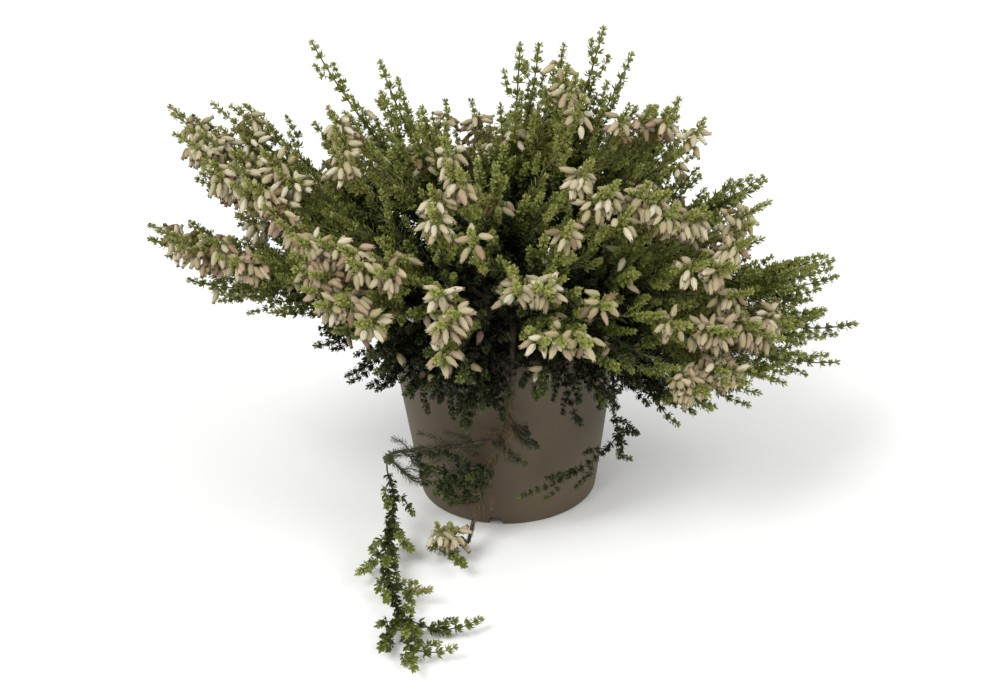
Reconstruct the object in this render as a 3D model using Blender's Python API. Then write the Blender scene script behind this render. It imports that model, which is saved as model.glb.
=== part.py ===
"""Potted bell heather: a plastic pot with soil, a woody stock, thin boughs and masses of flowering shoots.

The origin is the centre of the pot's flat underside, +Z is up and -Y is the front.
Lengths in the tables are millimetres and angles are degrees; the model itself is in metres.
"""

from collections import namedtuple
import math
import random

import bmesh
import bpy
from mathutils import Matrix, Vector
from mathutils.geometry import interpolate_bezier, intersect_point_line

# Driving dimensions
MM = 0.001
GAP = 0.3 * MM
WELD_DISTANCE = 0.01 * MM
CREASE_ANGLE = math.radians(35)
SEED = 4100

POT_HEIGHT = 98 * MM
POT_FOOT_RADIUS = 44 * MM
POT_BODY_RADIUS = 57.6 * MM
POT_LIP_RADIUS = 60 * MM
POT_LIP_HEIGHT = 9 * MM
POT_WALL = 1.8 * MM
POT_FLOOR = 3 * MM
POT_EDGE = 1.2 * MM
POT_SIDES = 32

NOTCH_COUNT = 3
NOTCH_WIDTH = 7 * MM
NOTCH_HEIGHT = 4 * MM
NOTCH_DEPTH = 9 * MM
NOTCH_OUTWARD = 2.7 * MM
NOTCH_HEADING = -99

SOIL_LEVEL = 87 * MM
SOIL_CROWN = 1.5 * MM
SOIL_SHOULDER = 0.7
SOIL_SHOULDER_DROP = 0.4
SOIL_LEVEL_RING = 3 * MM

STOCK_RADIUS = 14 * MM
STOCK_FLARE = 18 * MM
STOCK_FLARE_WIDTH = 2 * MM
STOCK_FLARE_HEIGHT = 1.5 * MM
STOCK_LIFT = 4 * MM
STOCK_SIDES = 16
STOCK_LOBES = 5
STOCK_LOBE_DEPTH = 0.1
STOCK_LOBE_HEIGHT = 1 * MM
STOCK_HEAD_STEPS = 5

CROWN_CENTRE = Vector((0, 0, 96 * MM))
BOUGH_ROOT_RADIUS = 1.35 * MM
BOUGH_TIP_RADIUS = 0.9 * MM
STEM_RADIUS = 0.85 * MM
TWIG_RADIUS = 0.6 * MM
TWIG_TIP_RADIUS = 0.3 * MM
LIMB_SIDES = 5
TWIG_SIDES = 3
BOUGH_POINTS = 5
TRAIL_LIMB_POINTS = 7
SHOOT_POINTS = 12
TRAIL_STEM_POINTS = 16
TRAIL_TWIG_POINTS = 9
BOUGH_HANDLE = 0.38
BOUGH_ROOT_LIFT = 16
BOUGH_LIFT_SHARE = 0.8
ENTRY_OVERLAP = 2 * MM

# How side shoots leave the stem of a crown mass
SHOOT_HANDLE = 0.33
ARCH_HANDLE = 0.15
LEADER_ROOT = 0.12
SHOOT_ROOT = 0.06
SHOOT_ROOT_SPAN = 0.34
SHOOT_AIM = 1.4
SHOOT_TURN_SPREAD = 0.6
SHOOT_SHORTEST = 0.9
FIRST_OPENING = 0.6
SHOOT_TRIMS = (1, 0.82, 0.66, 0.5, 0.36)
ROOT_POINTS_EXEMPT = 3
SHOOT_CLEARANCE = 0.4
STEM_LEAFY_SHARE = 0.78
LEAFY_SHARE = 0.8
TRAIL_LEAFY_SHARE = 0.94

# Needles and bells
NEEDLE_PITCH = 6.5 * MM
PITCH_GROWTH = 1.22
PITCH_LIMIT = 15 * MM
NEEDLE_REACH = 7.6 * MM
TIP_NEEDLE_REACH = 2.8 * MM
REACH_FADE = 0.7
BARE_STEP = 28 * MM
NEEDLE_RAKE = 0.9
BELL_LENGTH = 10.5 * MM
BELL_RADIUS = 2.7 * MM
BELL_MOUTH = 1.4 * MM
BELL_BELLY = 0.62
BELL_DROOP = 0.7
BELL_LEAN = 0.25
BELL_SIDES = 4
BELL_PITCH = 2.6 * MM
BELL_START_SHARE = 0.5
SIDE_GREEN_TIP = 14 * MM
TRAIL_GREEN_TIP = 20 * MM
BELL_TURN_SPREAD = 0.8

MASS_MARGIN = 0.25 * MM
LIMB_MARGIN = 0.6 * MM
POT_MARGIN = 1.0 * MM
CROWN_BOTTOM = 62 * MM
GOLDEN_TURN = math.pi * (3 - math.sqrt(5))
UP = Vector((0, 0, 1))

# A crown mass: its leading tips as (heading, lift, reach) from the crown centre, the distance and the lift
# at which its bough hands over to it, how far its side shoots spread, how much shorter the outermost are,
# how far shoots arch up at the root and turn up at the tip, how many side shoots and bells it has, and how
# long the green tips above its bells are.
CrownMass = namedtuple("CrownMass", "name leaders entry entry_lift spread falloff arch upturn shoots bells "
                                    "green_tip")

CROWN_MASSES = (
    CrownMass("left_low", ((178, 13, 172), (186, 10, 150)), 40, 13, 24, 0.46, 0.1, 0.25, 4, 6, 12),
    CrownMass("right_low", ((0, -5, 171), (4, 2, 163), (-5, -10, 163)), 40, 12, 28, 0.42, 0.3, 0.3, 3, 4, 40),
    CrownMass("right_front_low", ((-30, -3, 136), (-38, -10, 118)), 40, 13, 28, 0.25, 0.7, 0.1, 3, 6, 12),
    CrownMass("front_right_low", ((-64, 8, 110), (-80, -7, 78)), 40, 14, 32, 0.25, 0.9, 0.1, 5, 7, 14),
    CrownMass("front_left_low", ((-102, 6, 98), (-122, -5, 86), (-95, -9, 76)),
              40, 14, 32, 0.25, 0.9, 0.1, 4, 7, 14),
    CrownMass("left_front_low", ((-134, 14, 110), (-138, -11, 76)), 40, 13, 22, 0.3, 0.9, 0.1, 4, 6, 14),
    CrownMass("back_left_low", ((142, 5, 138),), 40, 13, 30, 0.28, 0.6, 0.2, 4, 4, 14),
    CrownMass("back_low", ((94, 2, 126),), 40, 13, 30, 0.26, 0.6, 0.2, 4, 4, 14),
    CrownMass("back_right_low", ((42, 3, 136),), 40, 13, 30, 0.26, 0.6, 0.2, 4, 4, 14),
    CrownMass("left_high", ((171, 32, 184), (169, 39, 156)), 38, 34, 24, 0.42, 0, 0.15, 4, 6, 14),
    CrownMass("right_up", ((3, 26, 138), (-9, 18, 128)), 38, 25, 22, 0.34, 0, 0.25, 4, 6, 30),
    CrownMass("right_front", ((-36, 24, 124),), 38, 27, 25, 0.18, 0, 0.2, 5, 6, 14),
    CrownMass("front_mid", ((-78, 30, 116),), 38, 32, 25, 0.16, 0, 0.25, 5, 6, 14),
    CrownMass("left_front", ((-122, 34, 112), (-140, 26, 118)), 38, 34, 25, 0.18, 0, 0.2, 4, 6, 14),
    CrownMass("back_left", ((130, 35, 130),), 38, 37, 28, 0.3, 0, 0.3, 4, 4, 16),
    CrownMass("back_mid", ((87, 31, 120),), 38, 35, 28, 0.3, 0, 0.2, 4, 4, 16),
    CrownMass("back_right", ((45, 34, 130),), 38, 36, 28, 0.26, 0, 0.3, 4, 4, 16),
    CrownMass("tall_left", ((172, 57, 156), (157, 46, 124)), 36, 57, 19, 0.44, 0, 0.3, 3, 5, 40),
    CrownMass("spike_left", ((-158, 67, 142), (-143, 69, 118)), 36, 65, 20, 0.44, 0, 0.5, 3, 4, 50),
    CrownMass("lean_right", ((6, 70, 144), (12, 62, 136)), 36, 67, 18, 0.38, 0, 0.35, 3, 4, 40),
    CrownMass("right_top", ((8, 49, 130), (0, 43, 130)), 36, 46, 20, 0.26, 0, 0.4, 3, 5, 40),
    CrownMass("front_up", ((-92, 60, 106), (-60, 54, 110)), 36, 56, 22, 0.2, 0, 0.4, 4, 5, 20),
    CrownMass("back_up", ((78, 56, 106),), 36, 60, 24, 0.34, 0, 0.2, 4, 4, 20),
    CrownMass("middle_top", ((15, 85, 130), (41, 78, 127)), 34, 86, 20, 0.42, 0, 0.3, 3, 4, 40),
)

# A trailing limb: its Bezier controls in millimetres and its end radii.
TrailLimb = namedtuple("TrailLimb", "name controls root_radius tip_radius")

TRAIL_LIMBS = (
    TrailLimb("trailing_stem_over_rim",
              ((3, -14.5, 92), (4, -38, 112), (4, -62, 114), (3, -64.5, 92)), 1.6, 1.3),
    TrailLimb("trailing_stem_down_wall",
              ((3, -64.6, 91.4), (2, -67, 68), (-10, -52, 36), (-20, -68, 6)), 1.3, 0.9),
    TrailLimb("left_trailing_stem",
              ((-5.2, -60.5, 56), (-24, -66, 56), (-52, -60, 54), (-58, -42, 38)), 0.85, 0.7),
    TrailLimb("right_trailing_stem",
              ((10, -10.6, 92), (34, -36, 118), (52, -56, 116), (50, -46, 62)), 1.0, 0.7),
)

# A trailing mass: where its stem starts; its leading shoots, each with two middle points and its tip;
# its rooms, each a set of planes it keeps behind as (point, outward normal); its span of height; its bells.
TrailMass = namedtuple("TrailMass", "name start leaders rooms low high bells")

TRAIL_SPLIT = ((-46, -50, 0), (0.96, 0.28, 0))
TRAIL_SPLIT_BACK = ((-46, -50, 0), (-0.96, -0.28, 0))
FOOT_FRONT = ((0, -97, 0), (0, -1, 0))
FOOT_FRONT_BACK = ((0, -97, 0), (0, 1, 0))
TRAIL_MASSES = (
    TrailMass("left_trail",
              (-58.1, -41.7, 37.7),
              (((-59, -36, 24), (-60, -92, 2), (-43, -168, 7)),
               ((-54, -104, 4), (-48, -110, 5), (-38, -114, 10)),
               ((-50, -126, 4), (-34, -148, 4), (-15, -134, 7)),
               ((-59, -38, 32), (-61, -26, 30), (-59, -8, 18)),
               ((-57, -74, 5), (-64, -86, 5), (-70, -96, 9)),
               ((-57, -58, 8), (-52, -66, 6), (-47, -76, 8)),
               ((-46, -148, 4), (-36, -158, 4), (-26, -156, 8)),
               ((-50, -128, 4), (-56, -140, 5), (-57, -154, 8))),
              ((TRAIL_SPLIT,), (FOOT_FRONT_BACK,)), 2, 47, 3),
    TrailMass("foot_flowers",
              (-20.1, -68.5, 5.6),
              (((-25, -71, 8), (-31, -74, 9), (-37, -77, 9)),
               ((-24, -76, 6), (-26, -82, 6), (-22, -91, 8))),
              ((TRAIL_SPLIT_BACK, FOOT_FRONT),), 2, 19, 8),
    TrailMass("wall_spray",
              (-7.6, -58.4, 44),
              (((-16, -62, 42), (-32, -60, 40), (-41, -48, 32)),
               ((-12, -60, 40), (-26, -60, 36), (-35, -49, 22)),
               ((-10, -60, 42), (-18, -60, 34), (-21, -56, 21)),
               ((-26, -61, 41), (-34, -58, 28), (-30, -54, 21))),
              ((TRAIL_SPLIT_BACK,),), 19, 60, 0),
    TrailMass("right_trail",
              (50, -45.9, 61.7),
              (((50, -45, 50), (48, -46, 40), (58, -41, 33)),
               ((50, -46, 46), (40, -58, 36), (6, -56, 23)),
               ((50, -46, 50), (54, -42, 50), (62, -36, 44))),
              ((),), 12, 61, 0),
)

BARK = (0.060, 0.042, 0.024, 1)
SHOOT_GREEN = (0.140, 0.155, 0.055, 1)
POT_TAUPE = (0.095, 0.078, 0.055, 1)
SOIL_BROWN = (0.05, 0.035, 0.025, 1)
BARK_ROUGHNESS = 0.85
SHOOT_ROUGHNESS = 0.6
POT_ROUGHNESS = 0.55
SOIL_ROUGHNESS = 0.95

Shoot = namedtuple("Shoot", "curve root_radius tip_radius leafy_length bells green_tip")


def direction(heading, lift):
    """Unit vector at a compass heading and a lift above the horizontal, both in degrees."""
    heading, lift = math.radians(heading), math.radians(lift)
    return Vector((math.cos(heading) * math.cos(lift), math.sin(heading) * math.cos(lift), math.sin(lift)))


def material(name, colour, roughness):
    """Plain Principled material."""
    result = bpy.data.materials.new(name)
    result.use_nodes = True
    shader = result.node_tree.nodes["Principled BSDF"]
    shader.inputs["Base Color"].default_value = colour
    shader.inputs["Roughness"].default_value = roughness
    result.diffuse_color = colour
    return result


def new_object(name, mesh_builder, look):
    """Turn a bmesh into a smooth-shaded object with sharp creases kept."""
    bmesh.ops.recalc_face_normals(mesh_builder, faces=mesh_builder.faces)
    mesh = bpy.data.meshes.new(name)
    mesh_builder.to_mesh(mesh)
    mesh_builder.free()
    mesh.materials.append(look)
    mesh.shade_smooth()
    mesh.set_sharp_from_angle(angle=CREASE_ANGLE)
    result = bpy.data.objects.new(name, mesh)
    bpy.context.scene.collection.objects.link(result)
    return result


def combine(target, operands, operation):
    """Join or cut the target with a group of solids by one Boolean, apply it and remove the group."""
    group = bpy.data.collections.new(target.name + "_group")
    bpy.context.scene.collection.children.link(group)
    for operand in operands:
        bpy.context.scene.collection.objects.unlink(operand)
        group.objects.link(operand)
    boolean = target.modifiers.new("combine", "BOOLEAN")
    boolean.operation = operation
    boolean.solver = "EXACT"
    boolean.operand_type = "COLLECTION"
    boolean.collection = group
    bpy.context.view_layer.update()
    evaluated = target.evaluated_get(bpy.context.evaluated_depsgraph_get())
    joined = bpy.data.meshes.new_from_object(evaluated)
    target.modifiers.clear()
    target.data = joined
    for operand in operands:
        bpy.data.objects.remove(operand)
    bpy.data.collections.remove(group)
    return target


def keep_largest_body(target):
    """Drop any loose scrap that the joining left beside the main body."""
    shape = bmesh.new()
    shape.from_mesh(target.data)
    bmesh.ops.triangulate(shape, faces=shape.faces)
    bodies = []
    unseen = set(shape.verts)
    while unseen:
        body = {unseen.pop()}
        edge_of_body = list(body)
        while edge_of_body:
            vertex = edge_of_body.pop()
            found = {edge.other_vert(vertex) for edge in vertex.link_edges} - body
            body |= found
            edge_of_body.extend(found)
        unseen -= body
        bodies.append(body)
    bodies.sort(key=len)
    scraps = [vertex for body in bodies[:-1] for vertex in body]
    bmesh.ops.delete(shape, geom=scraps, context="VERTS")
    shape.to_mesh(target.data)
    shape.free()


def turned(profile, sides):
    """Solid of revolution from (radius, height) points that start and end on the axis."""
    shape = bmesh.new()
    points = [shape.verts.new((radius, 0, height)) for radius, height in profile]
    edges = [shape.edges.new(pair) for pair in zip(points, points[1:])]
    bmesh.ops.spin(shape, geom=points + edges, cent=(0, 0, 0), axis=(0, 0, 1), angle=math.tau,
                   steps=sides, use_merge=True)
    bmesh.ops.remove_doubles(shape, verts=shape.verts, dist=WELD_DISTANCE)
    return shape


def rounded_edge(radius, height, edge, start, end, steps=2):
    """Profile points round a corner whose arc centre is (radius, height)."""
    turns = [start + (end - start) * step / steps for step in range(steps + 1)]
    return [(radius + edge * math.cos(turn), height + edge * math.sin(turn)) for turn in turns]


def pot_outer_radius(height):
    """Outer radius of the tapered wall below the lip."""
    return POT_FOOT_RADIUS + (POT_BODY_RADIUS - POT_FOOT_RADIUS) * height / POT_HEIGHT


def make_pot(look):
    """Tapered grower's pot with a lip, and drainage notches through the corner of its foot."""
    lip_bottom = POT_HEIGHT - POT_LIP_HEIGHT
    inner_top = POT_BODY_RADIUS - POT_WALL
    inner_foot = pot_outer_radius(POT_FLOOR) - POT_WALL
    profile = [(0, 0)]
    profile += rounded_edge(POT_FOOT_RADIUS - POT_EDGE, POT_EDGE, POT_EDGE, -math.pi / 2, 0)
    profile += [(pot_outer_radius(lip_bottom), lip_bottom), (POT_LIP_RADIUS, lip_bottom + POT_EDGE)]
    profile += rounded_edge(POT_LIP_RADIUS - POT_EDGE, POT_HEIGHT - POT_EDGE, POT_EDGE, 0, math.pi / 2)
    profile += [(inner_top, POT_HEIGHT), (inner_foot, POT_FLOOR), (0, POT_FLOOR)]
    pot = new_object("pot", turned(profile, POT_SIDES), look)
    cutters = []
    for number in range(NOTCH_COUNT):
        shape = bmesh.new()
        bmesh.ops.create_cube(shape, size=1)
        size = Matrix.Diagonal((NOTCH_DEPTH * 2, NOTCH_WIDTH, NOTCH_HEIGHT * 2, 1))
        turn = math.radians(NOTCH_HEADING + 360 * number / NOTCH_COUNT)
        place = Matrix.Rotation(turn, 4, "Z") @ Matrix.Translation((POT_FOOT_RADIUS + NOTCH_OUTWARD, 0, 0))
        shape.transform(place @ size)
        cutters.append(new_object(f"notch_{number}", shape, look))
    return combine(pot, cutters, "DIFFERENCE")


def make_soil(look):
    """Filling of the pot, 0.3 mm clear of its floor and wall, slightly raised round the stock."""
    bottom = POT_FLOOR + GAP
    slope = (POT_BODY_RADIUS - POT_FOOT_RADIUS) / POT_HEIGHT
    inner = pot_outer_radius(POT_FLOOR) - POT_WALL - 2 * GAP
    rim = inner + slope * (SOIL_LEVEL - bottom)
    profile = [(0, bottom), (inner, bottom), (rim, SOIL_LEVEL - SOIL_CROWN),
               (SOIL_SHOULDER * rim, SOIL_LEVEL - SOIL_SHOULDER_DROP * SOIL_CROWN),
               (STOCK_FLARE + SOIL_LEVEL_RING, SOIL_LEVEL), (0, SOIL_LEVEL)]
    return new_object("soil", turned(profile, POT_SIDES), look)


def make_stock(look):
    """Short woody stem of the bush: a flared, lobed foot under a round head that the boughs leave."""
    bottom = SOIL_LEVEL + GAP
    centre = stock_centre().z
    head = [(STOCK_RADIUS * math.cos(turn), centre + STOCK_RADIUS * math.sin(turn))
            for turn in (math.pi / 2 * step / STOCK_HEAD_STEPS for step in range(STOCK_HEAD_STEPS))]
    profile = [(0, bottom), (STOCK_FLARE, bottom),
               (STOCK_FLARE - STOCK_FLARE_WIDTH, bottom + STOCK_FLARE_HEIGHT)]
    shape = turned(profile + head + [(0, centre + STOCK_RADIUS)], STOCK_SIDES)
    for vertex in shape.verts:
        if vertex.co.z < bottom + STOCK_LOBE_HEIGHT:
            heading = math.atan2(vertex.co.y, vertex.co.x)
            lobe = 1 + STOCK_LOBE_DEPTH * math.cos(STOCK_LOBES * heading)
            vertex.co.x *= lobe
            vertex.co.y *= lobe
    return new_object("stock", shape, look)


def stock_centre():
    """Centre of the stock's round head."""
    return Vector((0, 0, SOIL_LEVEL + GAP + STOCK_LIFT))


def tube_shape(points, radii, sides, needle_reaches=None, needle_allowed=None):
    """Closed tapering tube along the points; a stretch with a needle reach carries a needle on each side."""
    shape = bmesh.new()
    rings = []
    across = points[1] - points[0]
    side_axis = across.orthogonal().normalized()
    for number, point in enumerate(points):
        ahead = points[min(number + 1, len(points) - 1)] - points[max(number - 1, 0)]
        ahead.normalize()
        side_axis = (side_axis - side_axis.dot(ahead) * ahead).normalized()
        other_axis = ahead.cross(side_axis)
        turns = [math.tau * side / sides for side in range(sides)]
        rings.append([shape.verts.new(point + radii[number] * (math.cos(turn) * side_axis
                                                               + math.sin(turn) * other_axis))
                      for turn in turns])
    shape.faces.new(list(reversed(rings[0])))
    for number, (lower, upper) in enumerate(zip(rings, rings[1:])):
        along = points[number + 1] - points[number]
        for side in range(sides):
            quad = [lower[side], lower[(side + 1) % sides], upper[(side + 1) % sides], upper[side]]
            needle = None
            if needle_reaches and needle_reaches[number]:
                middle = sum((vertex.co for vertex in quad), Vector()) / 4
                outward = middle - (points[number] + points[number + 1]) / 2
                outward.normalize()
                tip = points[number] + NEEDLE_RAKE * along + needle_reaches[number] * outward
                if needle_allowed(tip):
                    needle = shape.verts.new(tip)
            if needle:
                for edge in range(4):
                    shape.faces.new((quad[edge], quad[(edge + 1) % 4], needle))
            else:
                shape.faces.new(quad)
    shape.faces.new(rings[-1])
    return shape


def point_along(curve, distance):
    """Point at a distance along a list of points, and the way the list runs there."""
    for start, end in zip(curve, curve[1:]):
        length = (end - start).length
        if distance <= length:
            return start + (end - start) * (distance / length), (end - start) / length
        distance -= length
    return curve[-1].copy(), (curve[-1] - curve[-2]).normalized()


def curve_length(curve):
    """Length of a list of points."""
    return sum((end - start).length for start, end in zip(curve, curve[1:]))


def bough_name(mass):
    """Name of the bough that carries a crown mass."""
    return mass.name + "_bough"


def entry_point(mass):
    """Where a crown mass takes over from its bough."""
    return CROWN_CENTRE + mass.entry * MM * direction(mass.leaders[0][0], mass.entry_lift)


def leader_tip(leader):
    """Tip of a leading shoot, from its heading, lift and reach."""
    heading, lift, reach = leader
    return CROWN_CENTRE + reach * MM * direction(heading, lift)


def middle_way(mass):
    """Middle direction of a crown mass's room."""
    heading, lift, _ = mass.leaders[0]
    return direction(heading, 0.5 * (lift + mass.entry_lift))


def mass_start(mass):
    """Way a crown mass's stem runs where it leaves its bough."""
    entry = entry_point(mass)
    to_tip = (leader_tip(mass.leaders[0]) - entry).normalized()
    return ((entry - CROWN_CENTRE).normalized() + to_tip).normalized()


def bough_curve(mass):
    """Centre line of a bough, from the stock's head to its mass."""
    heading = mass.leaders[0][0]
    root_way = direction(heading, BOUGH_ROOT_LIFT + BOUGH_LIFT_SHARE * mass.entry_lift)
    root = stock_centre() + (STOCK_RADIUS + GAP) * root_way
    end_way = mass_start(mass)
    end = entry_point(mass) - GAP * end_way
    handle = BOUGH_HANDLE * (end - root).length
    return interpolate_bezier(root, root + handle * root_way, end - handle * end_way, end, BOUGH_POINTS)


def trail_curve(limb):
    """Centre line of a trailing limb."""
    return interpolate_bezier(*(Vector(control) * MM for control in limb.controls), TRAIL_LIMB_POINTS)


def limb_routes():
    """Centre line and end radii of each limb, by name."""
    routes = {}
    for mass in CROWN_MASSES:
        routes[bough_name(mass)] = (bough_curve(mass), BOUGH_ROOT_RADIUS, BOUGH_TIP_RADIUS)
    for limb in TRAIL_LIMBS:
        routes[limb.name] = (trail_curve(limb), limb.root_radius * MM, limb.tip_radius * MM)
    return routes


def make_limb(name, route, look):
    """One tapering limb with flat ends."""
    curve, root_radius, tip_radius = route
    steps = len(curve) - 1
    radii = [root_radius + (tip_radius - root_radius) * step / steps for step in range(steps + 1)]
    return new_object(name, tube_shape(curve, radii, LIMB_SIDES), look)


class Space:
    """The room that one mass keeps to: behind the planes of one of its rooms, off pot, floor and limbs."""

    def __init__(self, rooms, low, high, inner, routes):
        self.rooms = rooms
        self.low = low
        self.high = high
        self.inner = inner
        self.routes = routes

    def holds(self, point, margin=0.0):
        """True where a point, with this much round it, is inside the room."""
        if point.z - margin < self.low or point.z + margin > self.high:
            return False
        if (point - CROWN_CENTRE).length < self.inner:
            return False
        radius = math.hypot(point.x, point.y)
        beside_lip = point.z > POT_HEIGHT - POT_LIP_HEIGHT - POT_MARGIN
        wall = POT_LIP_RADIUS if beside_lip else pot_outer_radius(point.z)
        if point.z - margin < POT_HEIGHT + POT_MARGIN and radius - margin < wall + POT_MARGIN:
            return False
        return any(all((point - place).dot(normal) <= -MASS_MARGIN - margin for place, normal in planes)
                   for planes in self.rooms)

    def clear(self, point, margin=0.0):
        """True where a point also stays off every limb."""
        return self.holds(point, margin) and not self.touches_limb(point, margin)

    def touches_limb(self, point, margin):
        """True where a point, with this much round it, meets a limb."""
        for curve, root_radius, _ in self.routes.values():
            reach = root_radius + LIMB_MARGIN + margin
            for start, end in zip(curve, curve[1:]):
                near, share = intersect_point_line(point, start, end)
                near = start.lerp(end, min(max(share, 0), 1))
                if (point - near).length < reach:
                    return True
        return False


def crown_space(mass, routes):
    """Cone of the directions nearer to this mass's middle than to any other's, beyond its entry."""
    planes = []
    for other in CROWN_MASSES:
        if other is not mass:
            normal = middle_way(other) - middle_way(mass)
            planes.append((CROWN_CENTRE, normal.normalized()))
    return Space([planes], CROWN_BOTTOM, math.inf, mass.entry * MM - ENTRY_OVERLAP, routes)


def trail_space(mass, routes):
    """Room of a trailing mass."""
    rooms = [[(Vector(place) * MM, Vector(normal).normalized()) for place, normal in planes]
             for planes in mass.rooms]
    return Space(rooms, mass.low * MM, mass.high * MM, 0, routes)


def shoot_curve(root, root_way, tip, tip_way, arch=0):
    """Smooth line from a root to a tip that leaves and arrives the given ways."""
    length = (tip - root).length
    root_handle = (SHOOT_HANDLE + ARCH_HANDLE * arch) * length * root_way
    tip_handle = SHOOT_HANDLE * length * tip_way
    return interpolate_bezier(root, root + root_handle, tip - tip_handle, tip, SHOOT_POINTS)


def tip_way(mass, tip):
    """Way a crown shoot points at its tip: outwards, turned up a little."""
    outward = (tip - CROWN_CENTRE).normalized()
    return (outward + mass.upturn * UP).normalized()


def crown_shoots(mass, number, space):
    """A stem to the first leading tip, shoots to the others, then side shoots by the golden angle."""
    rng = random.Random(SEED + number)
    entry = entry_point(mass)
    tip = leader_tip(mass.leaders[0])
    stem = shoot_curve(entry, mass_start(mass), tip, tip_way(mass, tip))
    stem_length = curve_length(stem)
    share = mass.bells // (len(mass.leaders) + mass.shoots)
    spare = mass.bells - share * (len(mass.leaders) + mass.shoots)
    green_tip = mass.green_tip * MM
    leafy = STEM_LEAFY_SHARE * stem_length
    shoots = [Shoot(stem, STEM_RADIUS, TWIG_TIP_RADIUS, leafy, share + spare, green_tip)]
    for leader in mass.leaders[1:]:
        root, along = point_along(stem, LEADER_ROOT * stem_length)
        tip = leader_tip(leader)
        root_way = (along + (tip - root).normalized() + mass.arch * UP).normalized()
        curve = shoot_curve(root, root_way, tip, tip_way(mass, tip), mass.arch)
        leafy = LEAFY_SHARE * curve_length(curve)
        shoots.append(Shoot(curve, TWIG_RADIUS, TWIG_TIP_RADIUS, leafy, share, green_tip))
    axis = direction(*mass.leaders[0][:2])
    side = axis.orthogonal().normalized()
    for count in range(mass.shoots):
        turn = count * GOLDEN_TURN + rng.uniform(0, SHOOT_TURN_SPREAD)
        opening = math.sqrt((count + FIRST_OPENING) / mass.shoots)
        length_share = rng.uniform(SHOOT_SHORTEST, 1.0)
        for trim in SHOOT_TRIMS:
            spread = math.radians(mass.spread) * opening * trim
            tilted = Matrix.Rotation(spread, 3, side) @ axis
            way = Matrix.Rotation(turn, 3, axis) @ tilted
            reach = mass.leaders[0][2] * MM * (1 - mass.falloff * opening * trim) * length_share
            root_share = SHOOT_ROOT + SHOOT_ROOT_SPAN * (1 - opening * trim)
            root, along = point_along(stem, stem_length * root_share)
            tip = CROWN_CENTRE + reach * way
            root_way = (along + SHOOT_AIM * (tip - root).normalized() + mass.arch * UP).normalized()
            curve = shoot_curve(root, root_way, tip, tip_way(mass, tip), mass.arch)
            margin = SHOOT_CLEARANCE * NEEDLE_REACH
            if all(space.clear(point, margin) for point in curve[ROOT_POINTS_EXEMPT:]):
                leafy = LEAFY_SHARE * curve_length(curve)
                shoots.append(Shoot(curve, TWIG_RADIUS, TWIG_TIP_RADIUS, leafy, share, SIDE_GREEN_TIP))
                break
    return shoots


def trail_shoots(mass):
    """Leading shoot from the mass's start, then each other leader from the nearest part of it."""
    start = Vector(mass.start) * MM
    shoots = []
    for number, leader in enumerate(mass.leaders):
        first, second, tip = (Vector(point) * MM for point in leader)
        if number == 0:
            curve = interpolate_bezier(start, first, second, tip, TRAIL_STEM_POINTS)
            stem = curve
            radius = STEM_RADIUS
        else:
            root = min(stem[1:], key=lambda point: (point - first).length)
            curve = interpolate_bezier(root, root.lerp(first, 0.5), second, tip, TRAIL_TWIG_POINTS)
            radius = TWIG_RADIUS
        bells = mass.bells if number == 0 else 0
        leafy = TRAIL_LEAFY_SHARE * curve_length(curve)
        shoots.append(Shoot(curve, radius, TWIG_TIP_RADIUS, leafy, bells, TRAIL_GREEN_TIP))
    return shoots


def shoot_mesh(shoot, space):
    """Three-sided twig, bare at first, whose outer stretches carry a needle on each side."""
    length = curve_length(shoot.curve)
    distances = [length]
    reaches = []
    pitch = NEEDLE_PITCH
    while distances[0] - pitch > length - shoot.leafy_length:
        reaches.insert(0, NEEDLE_REACH - (NEEDLE_REACH - TIP_NEEDLE_REACH) * REACH_FADE ** len(reaches))
        distances.insert(0, distances[0] - pitch)
        pitch = min(pitch * PITCH_GROWTH, PITCH_LIMIT)
    bare = distances[0]
    bare_steps = max(1, round(bare / BARE_STEP))
    distances = [bare * step / bare_steps for step in range(bare_steps)] + distances
    reaches = [0] * bare_steps + reaches
    points = [point_along(shoot.curve, distance)[0] for distance in distances]
    radii = [shoot.root_radius + (shoot.tip_radius - shoot.root_radius) * distance / length
             for distance in distances]
    return tube_shape(points, radii, TWIG_SIDES, reaches, space.clear)


def bell_shape(root, way):
    """Drooping flower bell on its stalk: a four-sided drop with a cut mouth."""
    shape = bmesh.new()
    side = way.orthogonal().normalized()
    other = way.cross(side)
    stalk = shape.verts.new(root)
    rings = []
    for share, radius in ((BELL_BELLY, BELL_RADIUS), (1, BELL_MOUTH)):
        middle = root + share * BELL_LENGTH * way
        rings.append([shape.verts.new(middle + radius * (math.cos(turn) * side + math.sin(turn) * other))
                      for turn in (math.tau * step / BELL_SIDES for step in range(BELL_SIDES))])
    for step in range(BELL_SIDES):
        after = (step + 1) % BELL_SIDES
        shape.faces.new((stalk, rings[0][after], rings[0][step]))
        shape.faces.new((rings[0][step], rings[0][after], rings[1][after], rings[1][step]))
    shape.faces.new(rings[1])
    return shape


def shoot_bells(shoot, space, rng):
    """Bells round a shoot just under its leafy tip, each hanging outwards and down."""
    length = curve_length(shoot.curve)
    shapes = []
    for number in range(shoot.bells):
        distance = length - min(BELL_START_SHARE * length, shoot.green_tip) - number * BELL_PITCH
        point, along = point_along(shoot.curve, distance)
        side = along.orthogonal().normalized()
        turn = number * GOLDEN_TURN + rng.uniform(0, BELL_TURN_SPREAD)
        outward = Matrix.Rotation(turn, 3, along) @ side
        way = (outward - BELL_DROOP * UP + BELL_LEAN * along).normalized()
        ends = [point + share * BELL_LENGTH * way for share in (BELL_BELLY, 1)]
        if all(space.clear(end, BELL_RADIUS) for end in ends):
            shapes.append(bell_shape(point, way))
    return shapes


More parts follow.
